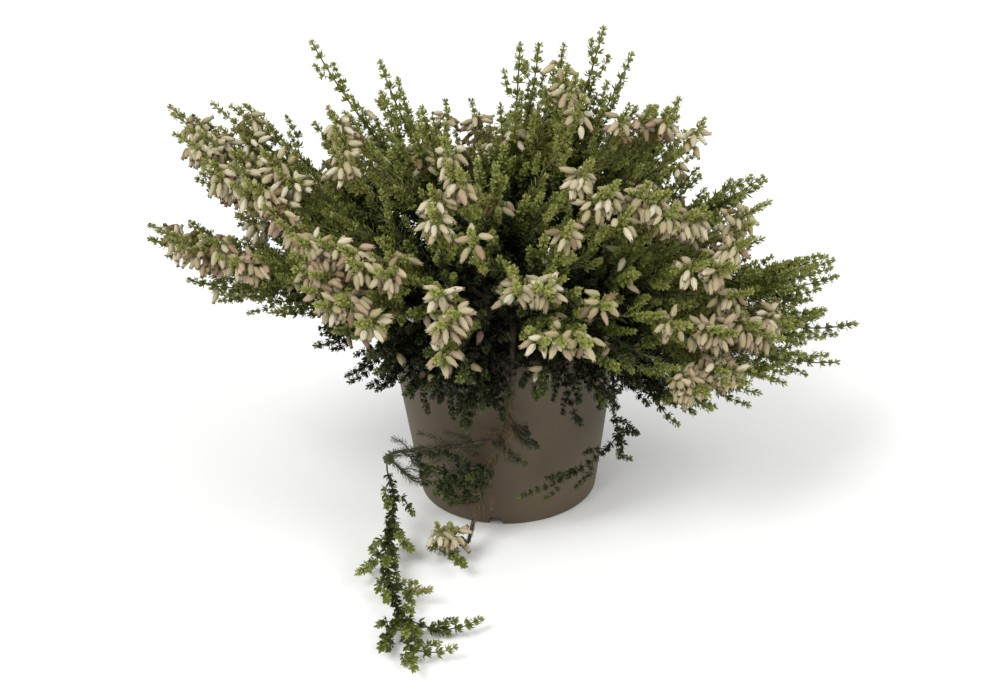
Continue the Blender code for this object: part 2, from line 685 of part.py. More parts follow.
def make_mass(name, shoots, space, look):
    """One mass: its stem with every twig, needle and bell joined to it."""
    rng = random.Random(name)
    shapes = [shoot_mesh(shoot, space) for shoot in shoots]
    for shoot in shoots:
        shapes += shoot_bells(shoot, space, rng)
    pieces = [new_object(f"{name}_{number}", shape, look) for number, shape in enumerate(shapes)]
    mass = combine(pieces[0], pieces[1:], "UNION")
    mass.name = name
    keep_largest_body(mass)
    return mass


def main():
    """Build the whole plant."""
    for old in list(bpy.data.objects):
        bpy.data.objects.remove(old)
    plastic = material("pot_plastic", POT_TAUPE, POT_ROUGHNESS)
    earth = material("soil", SOIL_BROWN, SOIL_ROUGHNESS)
    bark = material("bark", BARK, BARK_ROUGHNESS)
    green = material("shoots", SHOOT_GREEN, SHOOT_ROUGHNESS)
    make_pot(plastic)
    make_soil(earth)
    make_stock(bark)
    routes = limb_routes()
    for name, route in routes.items():
        make_limb(name, route, bark)
    for number, mass in enumerate(CROWN_MASSES):
        space = crown_space(mass, routes)
        make_mass(mass.name, crown_shoots(mass, number, space), space, green)
    for mass in TRAIL_MASSES:
        space = trail_space(mass, routes)
        make_mass(mass.name, trail_shoots(mass), space, green)


if __name__ == "__main__":
    main()
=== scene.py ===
"""Potted bell heather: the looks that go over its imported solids.

The crown and the trailing shoots are grown again by the rule of their solids and carried on to finer shoots,
needles and bells. Lengths in the tables are millimetres and angles are degrees; the model is in metres.
"""

from collections import namedtuple
import functools
import math
import random

import bmesh
import bpy
from bpy.props import FloatProperty, FloatVectorProperty, IntProperty, PointerProperty
from mathutils import Matrix, Vector, noise
from mathutils.geometry import interpolate_bezier, intersect_point_line
import numpy as np


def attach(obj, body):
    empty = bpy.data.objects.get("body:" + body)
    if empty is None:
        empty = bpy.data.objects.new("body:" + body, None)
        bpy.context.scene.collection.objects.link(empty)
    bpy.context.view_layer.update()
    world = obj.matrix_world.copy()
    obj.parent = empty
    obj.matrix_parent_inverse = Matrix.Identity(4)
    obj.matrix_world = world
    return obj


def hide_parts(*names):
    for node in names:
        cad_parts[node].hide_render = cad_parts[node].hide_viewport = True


bl_info = {
    "name": "Potted bell heather",
    "version": (1, 0, 0),
    "blender": (4, 5, 0),
    "location": "3D View > Sidebar > Heather",
    "description": "Grows a flowering heather bush in its pot over the packed solids",
    "category": "Add Mesh",
}

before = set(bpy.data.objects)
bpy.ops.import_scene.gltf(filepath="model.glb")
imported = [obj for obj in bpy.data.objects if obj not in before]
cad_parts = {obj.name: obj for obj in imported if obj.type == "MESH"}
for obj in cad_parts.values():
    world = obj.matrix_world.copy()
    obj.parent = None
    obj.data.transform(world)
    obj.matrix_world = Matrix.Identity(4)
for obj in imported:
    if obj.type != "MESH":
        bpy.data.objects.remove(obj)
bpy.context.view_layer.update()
BODY = "root"

# Sizes shared with the solids
MM = 0.001
GAP = 0.3 * MM
SEED = 4100
POT_HEIGHT = 98 * MM
POT_FOOT_RADIUS = 44 * MM
POT_BODY_RADIUS = 57.6 * MM
POT_LIP_RADIUS = 60 * MM
POT_LIP_HEIGHT = 9 * MM
POT_WALL = 1.8 * MM
POT_FLOOR = 3 * MM
NOTCH_COUNT = 3
NOTCH_WIDTH = 7 * MM
NOTCH_HEIGHT = 4 * MM
NOTCH_DEPTH = 9 * MM
NOTCH_OUTWARD = 2.7 * MM
NOTCH_HEADING = -99
SOIL_LEVEL = 87 * MM
SOIL_CROWN = 1.5 * MM
STOCK_RADIUS = 14 * MM
STOCK_FLARE = 18 * MM
STOCK_LIFT = 4 * MM
STOCK_LOBES = 5
CROWN_CENTRE = Vector((0, 0, 96 * MM))
BOUGH_ROOT_RADIUS = 1.35 * MM
BOUGH_TIP_RADIUS = 0.9 * MM
STEM_RADIUS = 0.85 * MM
TWIG_RADIUS = 0.6 * MM
TWIG_TIP_RADIUS = 0.3 * MM
SHOOT_POINTS = 12
TRAIL_STEM_POINTS = 16
TRAIL_TWIG_POINTS = 9
BOUGH_HANDLE = 0.38
BOUGH_ROOT_LIFT = 16
BOUGH_LIFT_SHARE = 0.8
ENTRY_OVERLAP = 2 * MM
SHOOT_HANDLE = 0.33
ARCH_HANDLE = 0.15
LEADER_ROOT = 0.12
SHOOT_ROOT = 0.06
SHOOT_ROOT_SPAN = 0.34
SHOOT_AIM = 1.4
SHOOT_TURN_SPREAD = 0.6
SHOOT_SHORTEST = 0.9
FIRST_OPENING = 0.6
SHOOT_TRIMS = (1, 0.82, 0.66, 0.5, 0.36)
ROOT_POINTS_EXEMPT = 3
SHOOT_CLEARANCE = 3.04 * MM
SIDE_GREEN_TIP = 14 * MM
MASS_MARGIN = 0.25 * MM
LIMB_MARGIN = 0.6 * MM
POT_MARGIN = 1.0 * MM
CROWN_BOTTOM = 62 * MM
FLOOR_ZONE = 10 * MM
GOLDEN_TURN = math.pi * (3 - math.sqrt(5))
UP = Vector((0, 0, 1))

# A crown mass: its leading tips as (heading, lift, reach) from the crown centre, the distance and the lift
# at which its bough hands over to it, how far its side shoots spread, how much shorter the outermost are,
# how far shoots arch up at the root and turn up at the tip, how many side shoots and bells it has, and how
# long the green tips above its bells are.
CrownMass = namedtuple("CrownMass", "name leaders entry entry_lift spread falloff arch upturn shoots bells "
                                    "green_tip")

CROWN_MASSES = (
    CrownMass("left_low", ((178, 13, 172), (186, 10, 150)), 40, 13, 24, 0.46, 0.1, 0.25, 4, 6, 12),
    CrownMass("right_low", ((0, -5, 171), (4, 2, 163), (-5, -10, 163)), 40, 12, 28, 0.42, 0.3, 0.3, 3, 4, 40),
    CrownMass("right_front_low", ((-30, -3, 136), (-38, -10, 118)), 40, 13, 28, 0.25, 0.7, 0.1, 3, 6, 12),
    CrownMass("front_right_low", ((-64, 8, 110), (-80, -7, 78)), 40, 14, 32, 0.25, 0.9, 0.1, 5, 7, 14),
    CrownMass("front_left_low", ((-102, 6, 98), (-122, -5, 86), (-95, -9, 76)),
              40, 14, 32, 0.25, 0.9, 0.1, 4, 7, 14),
    CrownMass("left_front_low", ((-134, 14, 110), (-138, -11, 76)), 40, 13, 22, 0.3, 0.9, 0.1, 4, 6, 14),
    CrownMass("back_left_low", ((142, 5, 138),), 40, 13, 30, 0.28, 0.6, 0.2, 4, 4, 14),
    CrownMass("back_low", ((94, 2, 126),), 40, 13, 30, 0.26, 0.6, 0.2, 4, 4, 14),
    CrownMass("back_right_low", ((42, 3, 136),), 40, 13, 30, 0.26, 0.6, 0.2, 4, 4, 14),
    CrownMass("left_high", ((171, 32, 184), (169, 39, 156)), 38, 34, 24, 0.42, 0, 0.15, 4, 6, 14),
    CrownMass("right_up", ((3, 26, 138), (-9, 18, 128)), 38, 25, 22, 0.34, 0, 0.25, 4, 6, 30),
    CrownMass("right_front", ((-36, 24, 124),), 38, 27, 25, 0.18, 0, 0.2, 5, 6, 14),
    CrownMass("front_mid", ((-78, 30, 116),), 38, 32, 25, 0.16, 0, 0.25, 5, 6, 14),
    CrownMass("left_front", ((-122, 34, 112), (-140, 26, 118)), 38, 34, 25, 0.18, 0, 0.2, 4, 6, 14),
    CrownMass("back_left", ((130, 35, 130),), 38, 37, 28, 0.3, 0, 0.3, 4, 4, 16),
    CrownMass("back_mid", ((87, 31, 120),), 38, 35, 28, 0.3, 0, 0.2, 4, 4, 16),
    CrownMass("back_right", ((45, 34, 130),), 38, 36, 28, 0.26, 0, 0.3, 4, 4, 16),
    CrownMass("tall_left", ((172, 57, 156), (157, 46, 124)), 36, 57, 19, 0.44, 0, 0.3, 3, 5, 40),
    CrownMass("spike_left", ((-158, 67, 142), (-143, 69, 118)), 36, 65, 20, 0.44, 0, 0.5, 3, 4, 50),
    CrownMass("lean_right", ((6, 70, 144), (12, 62, 136)), 36, 67, 18, 0.38, 0, 0.35, 3, 4, 40),
    CrownMass("right_top", ((8, 49, 130), (0, 43, 130)), 36, 46, 20, 0.26, 0, 0.4, 3, 5, 40),
    CrownMass("front_up", ((-92, 60, 106), (-60, 54, 110)), 36, 56, 22, 0.2, 0, 0.4, 4, 5, 20),
    CrownMass("back_up", ((78, 56, 106),), 36, 60, 24, 0.34, 0, 0.2, 4, 4, 20),
    CrownMass("middle_top", ((15, 85, 130), (41, 78, 127)), 34, 86, 20, 0.42, 0, 0.3, 3, 4, 40),
)

# A trailing limb: its Bezier controls in millimetres and its end radii.
TrailLimb = namedtuple("TrailLimb", "name controls root_radius tip_radius")

TRAIL_LIMBS = (
    TrailLimb("trailing_stem_over_rim",
              ((3, -14.5, 92), (4, -38, 112), (4, -62, 114), (3, -64.5, 92)), 1.6, 1.3),
    TrailLimb("trailing_stem_down_wall",
              ((3, -64.6, 91.4), (2, -67, 68), (-10, -52, 36), (-20, -68, 6)), 1.3, 0.9),
    TrailLimb("left_trailing_stem",
              ((-5.2, -60.5, 56), (-24, -66, 56), (-52, -60, 54), (-58, -42, 38)), 0.85, 0.7),
    TrailLimb("right_trailing_stem",
              ((10, -10.6, 92), (34, -36, 118), (52, -56, 116), (50, -46, 62)), 1.0, 0.7),
)

# A trailing mass: where its stem starts; its leading shoots, each with two middle points and its tip;
# its rooms, each a set of planes it keeps behind as (point, outward normal); its span of height; its bells.
TrailMass = namedtuple("TrailMass", "name start leaders rooms low high bells")

TRAIL_SPLIT = ((-46, -50, 0), (0.96, 0.28, 0))
TRAIL_SPLIT_BACK = ((-46, -50, 0), (-0.96, -0.28, 0))
FOOT_FRONT = ((0, -97, 0), (0, -1, 0))
FOOT_FRONT_BACK = ((0, -97, 0), (0, 1, 0))
TRAIL_MASSES = (
    TrailMass("left_trail",
              (-58.1, -41.7, 37.7),
              (((-59, -36, 24), (-60, -92, 2), (-43, -168, 7)),
               ((-54, -104, 4), (-48, -110, 5), (-38, -114, 10)),
               ((-50, -126, 4), (-34, -148, 4), (-15, -134, 7)),
               ((-59, -38, 32), (-61, -26, 30), (-59, -8, 18)),
               ((-57, -74, 5), (-64, -86, 5), (-70, -96, 9)),
               ((-57, -58, 8), (-52, -66, 6), (-47, -76, 8)),
               ((-46, -148, 4), (-36, -158, 4), (-26, -156, 8)),
               ((-50, -128, 4), (-56, -140, 5), (-57, -154, 8))),
              ((TRAIL_SPLIT,), (FOOT_FRONT_BACK,)), 2, 47, 3),
    TrailMass("foot_flowers",
              (-20.1, -68.5, 5.6),
              (((-25, -71, 8), (-31, -74, 9), (-37, -77, 9)),
               ((-24, -76, 6), (-26, -82, 6), (-22, -91, 8))),
              ((TRAIL_SPLIT_BACK, FOOT_FRONT),), 2, 19, 8),
    TrailMass("wall_spray",
              (-7.6, -58.4, 44),
              (((-16, -62, 42), (-32, -60, 40), (-41, -48, 32)),
               ((-12, -60, 40), (-26, -60, 36), (-35, -49, 22)),
               ((-10, -60, 42), (-18, -60, 34), (-21, -56, 21)),
               ((-26, -61, 41), (-34, -58, 28), (-30, -54, 21))),
              ((TRAIL_SPLIT_BACK,),), 19, 60, 0),
    TrailMass("right_trail",
              (50, -45.9, 61.7),
              (((50, -45, 50), (48, -46, 40), (58, -41, 33)),
               ((50, -46, 46), (40, -58, 36), (6, -56, 23)),
               ((50, -46, 50), (54, -42, 50), (62, -36, 44))),
              ((),), 12, 61, 0),
)

# A flowering spray that shows from the front: (heading, lift, reach) of its inner and its outer end from the
# crown centre, its clusters, and how many bells each has
FlowerSpray = namedtuple("FlowerSpray", "inner outer clusters bells")

FLOWER_SPRAYS = (
    FlowerSpray((-152, 33, 136), (175, 33, 172), 9, 11),
    FlowerSpray((-164, 29, 130), (-178, 29, 148), 3, 8),
    FlowerSpray((-148, 38, 132), (172, 38, 152), 4, 8),
    FlowerSpray((-150, 23, 138), (180, 15, 162), 7, 9),
    FlowerSpray((-119, 28, 120), (-150, 34, 134), 6, 11),
    FlowerSpray((-120, 18, 118), (-140, 26, 130), 6, 11),
    FlowerSpray((-138, 48, 128), (-158, 55, 130), 3, 7),
    FlowerSpray((-106, 39, 116), (-114, 47, 120), 2, 7),
    FlowerSpray((-99, 48, 118), (-112, 60, 121), 2, 6),
    FlowerSpray((-95, 38, 116), (-99, 40, 116), 1, 5),
    FlowerSpray((-79, 38, 117), (-71, 37, 117), 1, 7),
    FlowerSpray((-28, 58, 120), (-20, 50, 128), 3, 6),
    FlowerSpray((-29, 9, 137), (-27, 3, 140), 2, 8),
    FlowerSpray((-100, 20, 114), (-108, 26, 115), 2, 7),
    FlowerSpray((-108, 11, 113), (-106, 12, 113), 1, 5),
    FlowerSpray((-90, 28, 114), (-79, 26, 114), 2, 7),
    FlowerSpray((-67, 21, 117), (-66, 22, 117), 1, 7),
    FlowerSpray((-84, 15, 112), (-71, 14, 115), 3, 5),
    FlowerSpray((-54, 61, 122), (-20, 78, 126), 3, 5),
    FlowerSpray((-56, 39, 121), (-64, 53, 121), 4, 6),
    FlowerSpray((-40, 30, 129), (-50, 42, 124), 5, 9),
    FlowerSpray((-22, 46, 133), (-24, 47, 134), 1, 5),
    FlowerSpray((-38, 23, 132), (-27, 28, 138), 3, 11),
    FlowerSpray((-36, 16, 133), (-45, 25, 127), 3, 8),
    FlowerSpray((-46, 13, 127), (-33, 6, 138), 5, 10),
    FlowerSpray((-50, 2, 126), (-40, 1, 132), 5, 12),
    FlowerSpray((-52, 13, 124), (-51, 12, 124), 1, 7),
)
BACK_CLUSTERS = 52

# A leafy spray at the crown's edge: (heading, lift, reach) of its first and its last tip, and its shoots
LeafySpray = namedtuple("LeafySpray", "first last shoots")

LEAFY_SPRAYS = (
    LeafySpray((-9, 31, 148), (-7, 27, 140), 3),
    LeafySpray((-10, 13, 154), (-9, 6, 163), 5),
    LeafySpray((-12, 15, 140), (-11, 2, 160), 8),
    LeafySpray((-13, 5, 148), (-10, -6, 164), 8),
    LeafySpray((-20, -3, 150), (-28, -10, 132), 8),
    LeafySpray((-30, -11, 124), (-44, -14, 88), 9),
    LeafySpray((4, 24, 132), (-8, 30, 126), 5),
    LeafySpray((-2, 42, 126), (2, 60, 124), 7),
    LeafySpray((0, 64, 124), (10, 80, 122), 6),
    LeafySpray((178, 38, 172), (178, 28, 152), 7),
    LeafySpray((180, 18, 156), (182, 6, 148), 6),
    LeafySpray((-170, 11, 142), (-170, 7, 106), 4),
    LeafySpray((-140, 20, 98), (-132, -8, 82), 12),
    LeafySpray((-124, -6, 84), (-100, -10, 80), 8),
)

# How near and how far the fine shoots of a mass end, as shares of its reach
FINE_REACH = (0.54, 0.82)
FINE_REACHES = {
    "tall_left": (0.48, 0.72),
    "spike_left": (0.50, 0.74),
    "left_low": (0.60, 0.88),
    "left_high": (0.60, 0.84),
    "right_low": (0.60, 0.96),
    "right_up": (0.60, 0.95),
    "right_top": (0.60, 0.95),
    "lean_right": (0.56, 0.90),
    "middle_top": (0.56, 0.92),
    "back_up": (0.42, 0.62),
    "back_mid": (0.46, 0.70),
}
LONG_GREEN_TIP = 30
BACK_CLUSTER_REACH = 132
CLUSTER_FILL = 1.35
BELL_FILL = 1.4

# Short shoots of each mass of the low ring that lean over the rim
LOW_RING_LIFT = 20
RIM_SHOOTS = 14

# Tips in millimetres of thin shoots that hang over the rim against the pot's front, the last ones nearly bare
HANGING_TIPS = (
    (-42, -47, 82), (-37, -49, 66), (-30, -55, 76), (-25, -56, 66), (-13, -61, 74), (-20, -58, 84),
    (-34, -52, 86), (22, -60, 84), (33, -53, 71), (44, -42, 62),
)
LEAFY_HANGERS = 8

# Tips in millimetres of the sprays that stand off the trailing stems along the pot's front
WALL_TIPS = (
    (-4, -64, 56), (-18, -60, 48), (-30, -54, 48), (-38, -45, 34), (-26, -54, 32), (-14, -60, 28),
    (-29, -52, 20), (-20, -56, 38), (-34, -50, 42), (-38, -44, 24), (-24, -55, 24), (-10, -62, 40),
    (10, -63, 64), (11, -62, 54), (8, -61, 46),
)
WALL_REPEATS = 2

# The flowering sprigs at the foot of the pot: their start and tips in millimetres, and the bells of each
FOOT_SPRIG_START = (-20.1, -68.5, 5.6)
FOOT_SPRIG_TIPS = ((-34, -78, 22), (-28, -77, 21))
FOOT_BELLS = 15

# How fresh each leading shoot of the long trailing mass is, and which one runs to the back, nearly bare
TRAIL_FRESH = (0.55, 0.88, 0.55, 0.65, 0.72, 0.88, 0.60, 0.40)
BARE_LEADER = 3

# Pieces of foliage, each with the masses that it stands for
GROUPS = {
    "left": ("left_low", "left_high", "left_front_low", "left_front"),
    "front": ("front_left_low", "front_right_low", "front_mid", "front_up", "spike_left"),
    "right": ("right_low", "right_up", "right_front", "right_front_low"),
    "top": ("tall_left", "lean_right", "right_top", "middle_top", "back_up"),
    "back": ("back_left_low", "back_low", "back_right_low", "back_left", "back_mid", "back_right"),
    "trailing": ("left_trail", "foot_flowers", "wall_spray", "right_trail"),
}

# A shoot: its centre line, end radii and sides; the length from its tip that carries needles, and how much of
# that is beaded with tufts; the spacing of the tufts; how fresh its green is, with painted light and shade
# for where it stands in the crown; its bells, and how far from the tip they start.
Shoot = namedtuple("Shoot", "curve root_radius tip_radius sides leafy beaded spacing fresh bells bell_start",
                   defaults=(0, 0))
DRY = -1


def direction(heading, lift):
    """Unit vector at a compass heading and a lift above the horizontal, both in degrees."""
    heading, lift = math.radians(heading), math.radians(lift)
    return Vector((math.cos(heading) * math.cos(lift), math.sin(heading) * math.cos(lift), math.sin(lift)))


def pot_outer_radius(height):
    """Outer radius of the tapered wall below the lip."""
    return POT_FOOT_RADIUS + (POT_BODY_RADIUS - POT_FOOT_RADIUS) * height / POT_HEIGHT


def stock_centre():
    """Centre of the stock's round head."""
    return Vector((0, 0, SOIL_LEVEL + GAP + STOCK_LIFT))


def point_along(curve, distance):
    """Point at a distance along a list of points, and the way the list runs there."""
    for start, end in zip(curve, curve[1:]):
        length = (end - start).length
        if distance <= length:
            return start + (end - start) * (distance / length), (end - start) / length
        distance -= length
    return curve[-1].copy(), (curve[-1] - curve[-2]).normalized()


def curve_length(curve):
    """Length of a list of points."""
    return sum((end - start).length for start, end in zip(curve, curve[1:]))


def bough_name(mass):
    """Name of the bough that carries a crown mass."""
    return mass.name + "_bough"


def entry_point(mass):
    """Where a crown mass takes over from its bough."""
    return CROWN_CENTRE + mass.entry * MM * direction(mass.leaders[0][0], mass.entry_lift)


def crown_point(heading, lift, reach):
    """Point in the crown, from its heading, lift and reach in millimetres from the crown centre."""
    return CROWN_CENTRE + reach * MM * direction(heading, lift)


def middle_way(mass):
    """Middle direction of a crown mass's room."""
    heading, lift, _ = mass.leaders[0]
    return direction(heading, 0.5 * (lift + mass.entry_lift))


def mass_start(mass):
    """Way a crown mass's stem runs where it leaves its bough."""
    entry = entry_point(mass)
    to_tip = (crown_point(*mass.leaders[0]) - entry).normalized()
    return ((entry - CROWN_CENTRE).normalized() + to_tip).normalized()


def bough_curve(mass, points):
    """Centre line of a bough, from the stock's head to its mass."""
    heading = mass.leaders[0][0]
    root_way = direction(heading, BOUGH_ROOT_LIFT + BOUGH_LIFT_SHARE * mass.entry_lift)
    root = stock_centre() + (STOCK_RADIUS + GAP) * root_way
    end_way = mass_start(mass)
    end = entry_point(mass) - GAP * end_way
    handle = BOUGH_HANDLE * (end - root).length
    return interpolate_bezier(root, root + handle * root_way, end - handle * end_way, end, points)


def trail_curve(limb, points):
    """Centre line of a trailing limb."""
    return interpolate_bezier(*(Vector(control) * MM for control in limb.controls), points)


@functools.cache
def limb_routes(bough_points=5, trail_points=7):
    """Centre line and end radii of each limb, by name."""
    routes = {}
    for mass in CROWN_MASSES:
        routes[bough_name(mass)] = (bough_curve(mass, bough_points), BOUGH_ROOT_RADIUS, BOUGH_TIP_RADIUS)
    for limb in TRAIL_LIMBS:
        routes[limb.name] = (trail_curve(limb, trail_points), limb.root_radius * MM, limb.tip_radius * MM)
    return routes


def outside_pot(point, margin=POT_MARGIN):
    """True where a point stays off the pot and what is in it."""
    beside_lip = point.z > POT_HEIGHT - POT_LIP_HEIGHT - POT_MARGIN
    wall = POT_LIP_RADIUS if beside_lip else pot_outer_radius(point.z)
    return point.z > POT_HEIGHT + margin or math.hypot(point.x, point.y) > wall + margin


class Space:
    """The room of one crown mass: the directions nearest to its middle, beyond its entry, off pot and limbs.

    The short shoots inside the crown may cross into the next room.
    """

    def __init__(self, mass, walled=True):
        self.normals = [(middle_way(other) - middle_way(mass)).normalized()
                        for other in CROWN_MASSES if walled and other is not mass]
        self.inner = mass.entry * MM - ENTRY_OVERLAP

    def clear(self, point, margin):
        """True where a point, with this much round it, is inside the room."""
        offset = point - CROWN_CENTRE
        if point.z - margin < CROWN_BOTTOM or offset.length < self.inner:
            return False
        if any(offset.dot(normal) > -MASS_MARGIN - margin for normal in self.normals):
            return False
        return outside_pot(point, POT_MARGIN + margin) and not touches_limb(point, margin)


def touches_limb(point, margin):
    """True where a point, with this much round it, meets a limb."""
    for curve, root_radius, _ in limb_routes().values():
        reach = root_radius + LIMB_MARGIN + margin
        for start, end in zip(curve, curve[1:]):
            _, share = intersect_point_line(point, start, end)
            near = start.lerp(end, min(max(share, 0), 1))
            if (point - near).length < reach:
                return True
    return False


def shoot_curve(root, root_way, tip, tip_way, arch=0):
    """Smooth line from a root to a tip that leaves and arrives the given ways."""
    length = (tip - root).length
    root_handle = (SHOOT_HANDLE + ARCH_HANDLE * arch) * length * root_way
    tip_handle = SHOOT_HANDLE * length * tip_way
    return interpolate_bezier(root, root + root_handle, tip - tip_handle, tip, SHOOT_POINTS)


def outward_way(mass, tip):
    """Way a crown shoot points at its tip: outwards, turned up a little."""
    outward = (tip - CROWN_CENTRE).normalized()
    return (outward + mass.upturn * UP).normalized()


def shoot_to(mass, stem, root_share, tip):
    """Line of a side shoot of a crown mass, from a share of its stem to a tip."""
    root, along = point_along(stem, root_share * curve_length(stem))
    root_way = (along + SHOOT_AIM * (tip - root).normalized() + mass.arch * UP).normalized()
    return shoot_curve(root, root_way, tip, outward_way(mass, tip), mass.arch)


def stem_curve(mass):
    """Line of a crown mass's stem, to its first leading tip."""
    tip = crown_point(*mass.leaders[0])
    return shoot_curve(entry_point(mass), mass_start(mass), tip, outward_way(mass, tip))


def spiral_shoot(mass, space, stem, count, total, turn, reach_share, clearance, least_root):
    """Line of one side shoot of the golden-angle spiral, drawn in until it is clear, or None."""
    axis = direction(*mass.leaders[0][:2])
    side = axis.orthogonal().normalized()
    opening = math.sqrt((count + FIRST_OPENING) / total)
    for trim in SHOOT_TRIMS:
        spread = math.radians(mass.spread) * opening * trim
        way = Matrix.Rotation(turn, 3, axis) @ (Matrix.Rotation(spread, 3, side) @ axis)
        reach = mass.leaders[0][2] * MM * (1 - mass.falloff * opening * trim) * reach_share
        root_share = least_root + SHOOT_ROOT_SPAN * (1 - opening * trim)
        curve = shoot_to(mass, stem, root_share, CROWN_CENTRE + reach * way)
        if all(space.clear(point, clearance) for point in curve[ROOT_POINTS_EXEMPT:]):
            return curve
    return None


def wavy(curve, rng, swing):
    """A line swung sideways by slow noise, with its ends left in place."""
    phase = Vector((rng.uniform(0, 9), rng.uniform(0, 9), rng.uniform(0, 9)))
    last = len(curve) - 1
    return [point + swing * math.sin(math.pi * number / last) * noise.noise_vector(phase + 3 * number / last * UP)
            for number, point in enumerate(curve)]


def painted_top_light(mass):
    """Painted light on the top of the crown: the upright masses take lighter greens and the low ones darker."""
    return 0.42 * math.sin(math.radians(mass.entry_lift)) - 0.12


def source_shoots(mass, number, space, stem):
    """The shoots of the solid: the stem, one to each other leading tip, and the first spiral of side shoots."""
    rng = random.Random(SEED + number)
    share = mass.bells // (len(mass.leaders) + mass.shoots)
    spare = mass.bells - share * (len(mass.leaders) + mass.shoots)
    fresh = 0.62 + painted_top_light(mass)

    def shoot(curve, radius, bells, green_tip):
        length = curve_length(curve)
        return Shoot(curve, radius, TWIG_TIP_RADIUS, 5, 0.85 * length, 80 * MM, 5.8 * MM, fresh, 2 * bells,
                     min(0.5 * length, green_tip))

    shoots = [shoot(stem, STEM_RADIUS, share + spare, mass.green_tip * MM)]
    for leader in mass.leaders[1:]:
        curve = shoot_to(mass, stem, LEADER_ROOT, crown_point(*leader))
        shoots.append(shoot(curve, TWIG_RADIUS, share, mass.green_tip * MM))
    for count in range(mass.shoots):
        turn = count * GOLDEN_TURN + rng.uniform(0, SHOOT_TURN_SPREAD)
        reach_share = rng.uniform(SHOOT_SHORTEST, 1.0)
        curve = spiral_shoot(mass, space, stem, count, mass.shoots, turn, reach_share, SHOOT_CLEARANCE,
                             SHOOT_ROOT)
        if curve:
            shoots.append(shoot(curve, TWIG_RADIUS, share, SIDE_GREEN_TIP))
    return shoots


def fine_shoots(mass, number, space, stem, total, nearest, furthest, beaded):
    """More side shoots on the same spiral, shorter than the solid's, that fill the mass from inside."""
    rng = random.Random(SEED + 500 + number + 1000 * total)
    shoots = []
    for count in range(total):
        turn = (count + 0.5) * GOLDEN_TURN + rng.uniform(0, SHOOT_TURN_SPREAD)
        reach_share = rng.uniform(nearest, furthest)
        curve = spiral_shoot(mass, space, stem, count, total, turn, reach_share, 1 * MM, 0.03)
        if curve:
            # Painted shade: the shorter a shoot and the further in it ends, the darker its green
            fresh = 1.6 * (reach_share - 0.5) + painted_top_light(mass) + rng.uniform(-0.12, 0.16)
            shoots.append(Shoot(wavy(curve, rng, 5 * MM), 0.42 * MM, 0.22 * MM, 3, 0.94 * curve_length(curve),
                                beaded, 4.6 * MM, fresh))
    return shoots


def rim_shoots(mass, stem, total):
    """Short leafy shoots of a low mass that lean over the pot's rim."""
    rng = random.Random(mass.name + " rim")
    shoots = []
    for _ in range(total):
        tip = crown_point(mass.leaders[0][0] + rng.uniform(-21, 21), rng.uniform(-17, 2), rng.uniform(70, 94))
        curve = shoot_to(mass, stem, 0.08, tip)
        if all(outside_pot(point, 2 * MM) for point in curve):
            shoots.append(Shoot(wavy(curve, rng, 4 * MM), 0.42 * MM, 0.22 * MM, 3, 0.9 * curve_length(curve),
                                26 * MM, 4.4 * MM, rng.uniform(0.1, 0.45)))
    return shoots


def edge_shoots(mass, stem):
    """Leafy shoots of a mass along the sprays at the crown's edge, lighter green further out and darker below the
    horizontal, partly fresh growth and partly painted light and shade.
    """
    rng = random.Random(mass.name + " edge")
    shoots = []
    for spray in LEAFY_SPRAYS:
        for number in range(spray.shoots):
            share = (number + 0.5) / spray.shoots
            heading, lift, reach = (start + share * (end - start) for start, end in zip(spray.first, spray.last))
            if owner(heading, lift) is mass:
                tip = crown_point(heading + rng.uniform(-4, 4), lift + rng.uniform(-3, 3),
                                  reach * rng.uniform(0.92, 1))
                curve = shoot_to(mass, stem, 0.15, tip)
                if all(outside_pot(point, 1.5 * MM) for point in curve):
                    # Lighter greens the further a shoot reaches, partly fresh growth and partly painted light;
                    # darker greens below the horizontal are painted shade
                    fresh = 0.1 + 0.0045 * reach + 0.012 * min(0, lift)
                    shoots.append(Shoot(wavy(curve, rng, 4 * MM), 0.45 * MM, 0.24 * MM, 3,
                                        0.82 * curve_length(curve), 60 * MM, 5.0 * MM, fresh))
    return shoots


def hanging_shoots(mass, stem):
    """Thin shoots of a mass that hang over the rim against the pot's wall."""
    shoots = []
    for number, place in enumerate(HANGING_TIPS):
        tip = Vector(place) * MM
        outward = Vector((tip.x, tip.y, 0))
        if owner(math.degrees(math.atan2(tip.y, tip.x)), 10) is mass:
            root, _ = point_along(stem, 0.1 * curve_length(stem))
            over = outward * 0.95 + 128 * MM * UP
            beside = outward * 1.14 + (tip.z + 26 * MM) * UP
            curve = interpolate_bezier(root, over, beside, tip, SHOOT_POINTS)
            leafy = 34 * MM if number < LEAFY_HANGERS else 7 * MM
            shoots.append(Shoot(curve, 0.4 * MM, 0.22 * MM, 4, leafy, leafy, 3.6 * MM, 0.55))
    return shoots


def front_clusters():
    """Flower clusters along the sprays that show from the front."""
    rng = random.Random(SEED + 76)
    clusters = []
    for spray in FLOWER_SPRAYS:
        count = round(CLUSTER_FILL * spray.clusters)
        for number in range(count):
            share = (number + 0.5) / count
            turn = (spray.outer[0] - spray.inner[0] + 180) % 360 - 180
            heading = spray.inner[0] + share * turn + rng.uniform(-2.5, 2.5)
            lift = spray.inner[1] + share * (spray.outer[1] - spray.inner[1]) + rng.uniform(-2, 2)
            reach = spray.inner[2] + share * (spray.outer[2] - spray.inner[2]) + rng.uniform(-3, 2)
            clusters.append((heading, lift, reach, round(BELL_FILL * spray.bells) + rng.randint(-2, 3)))
    return clusters


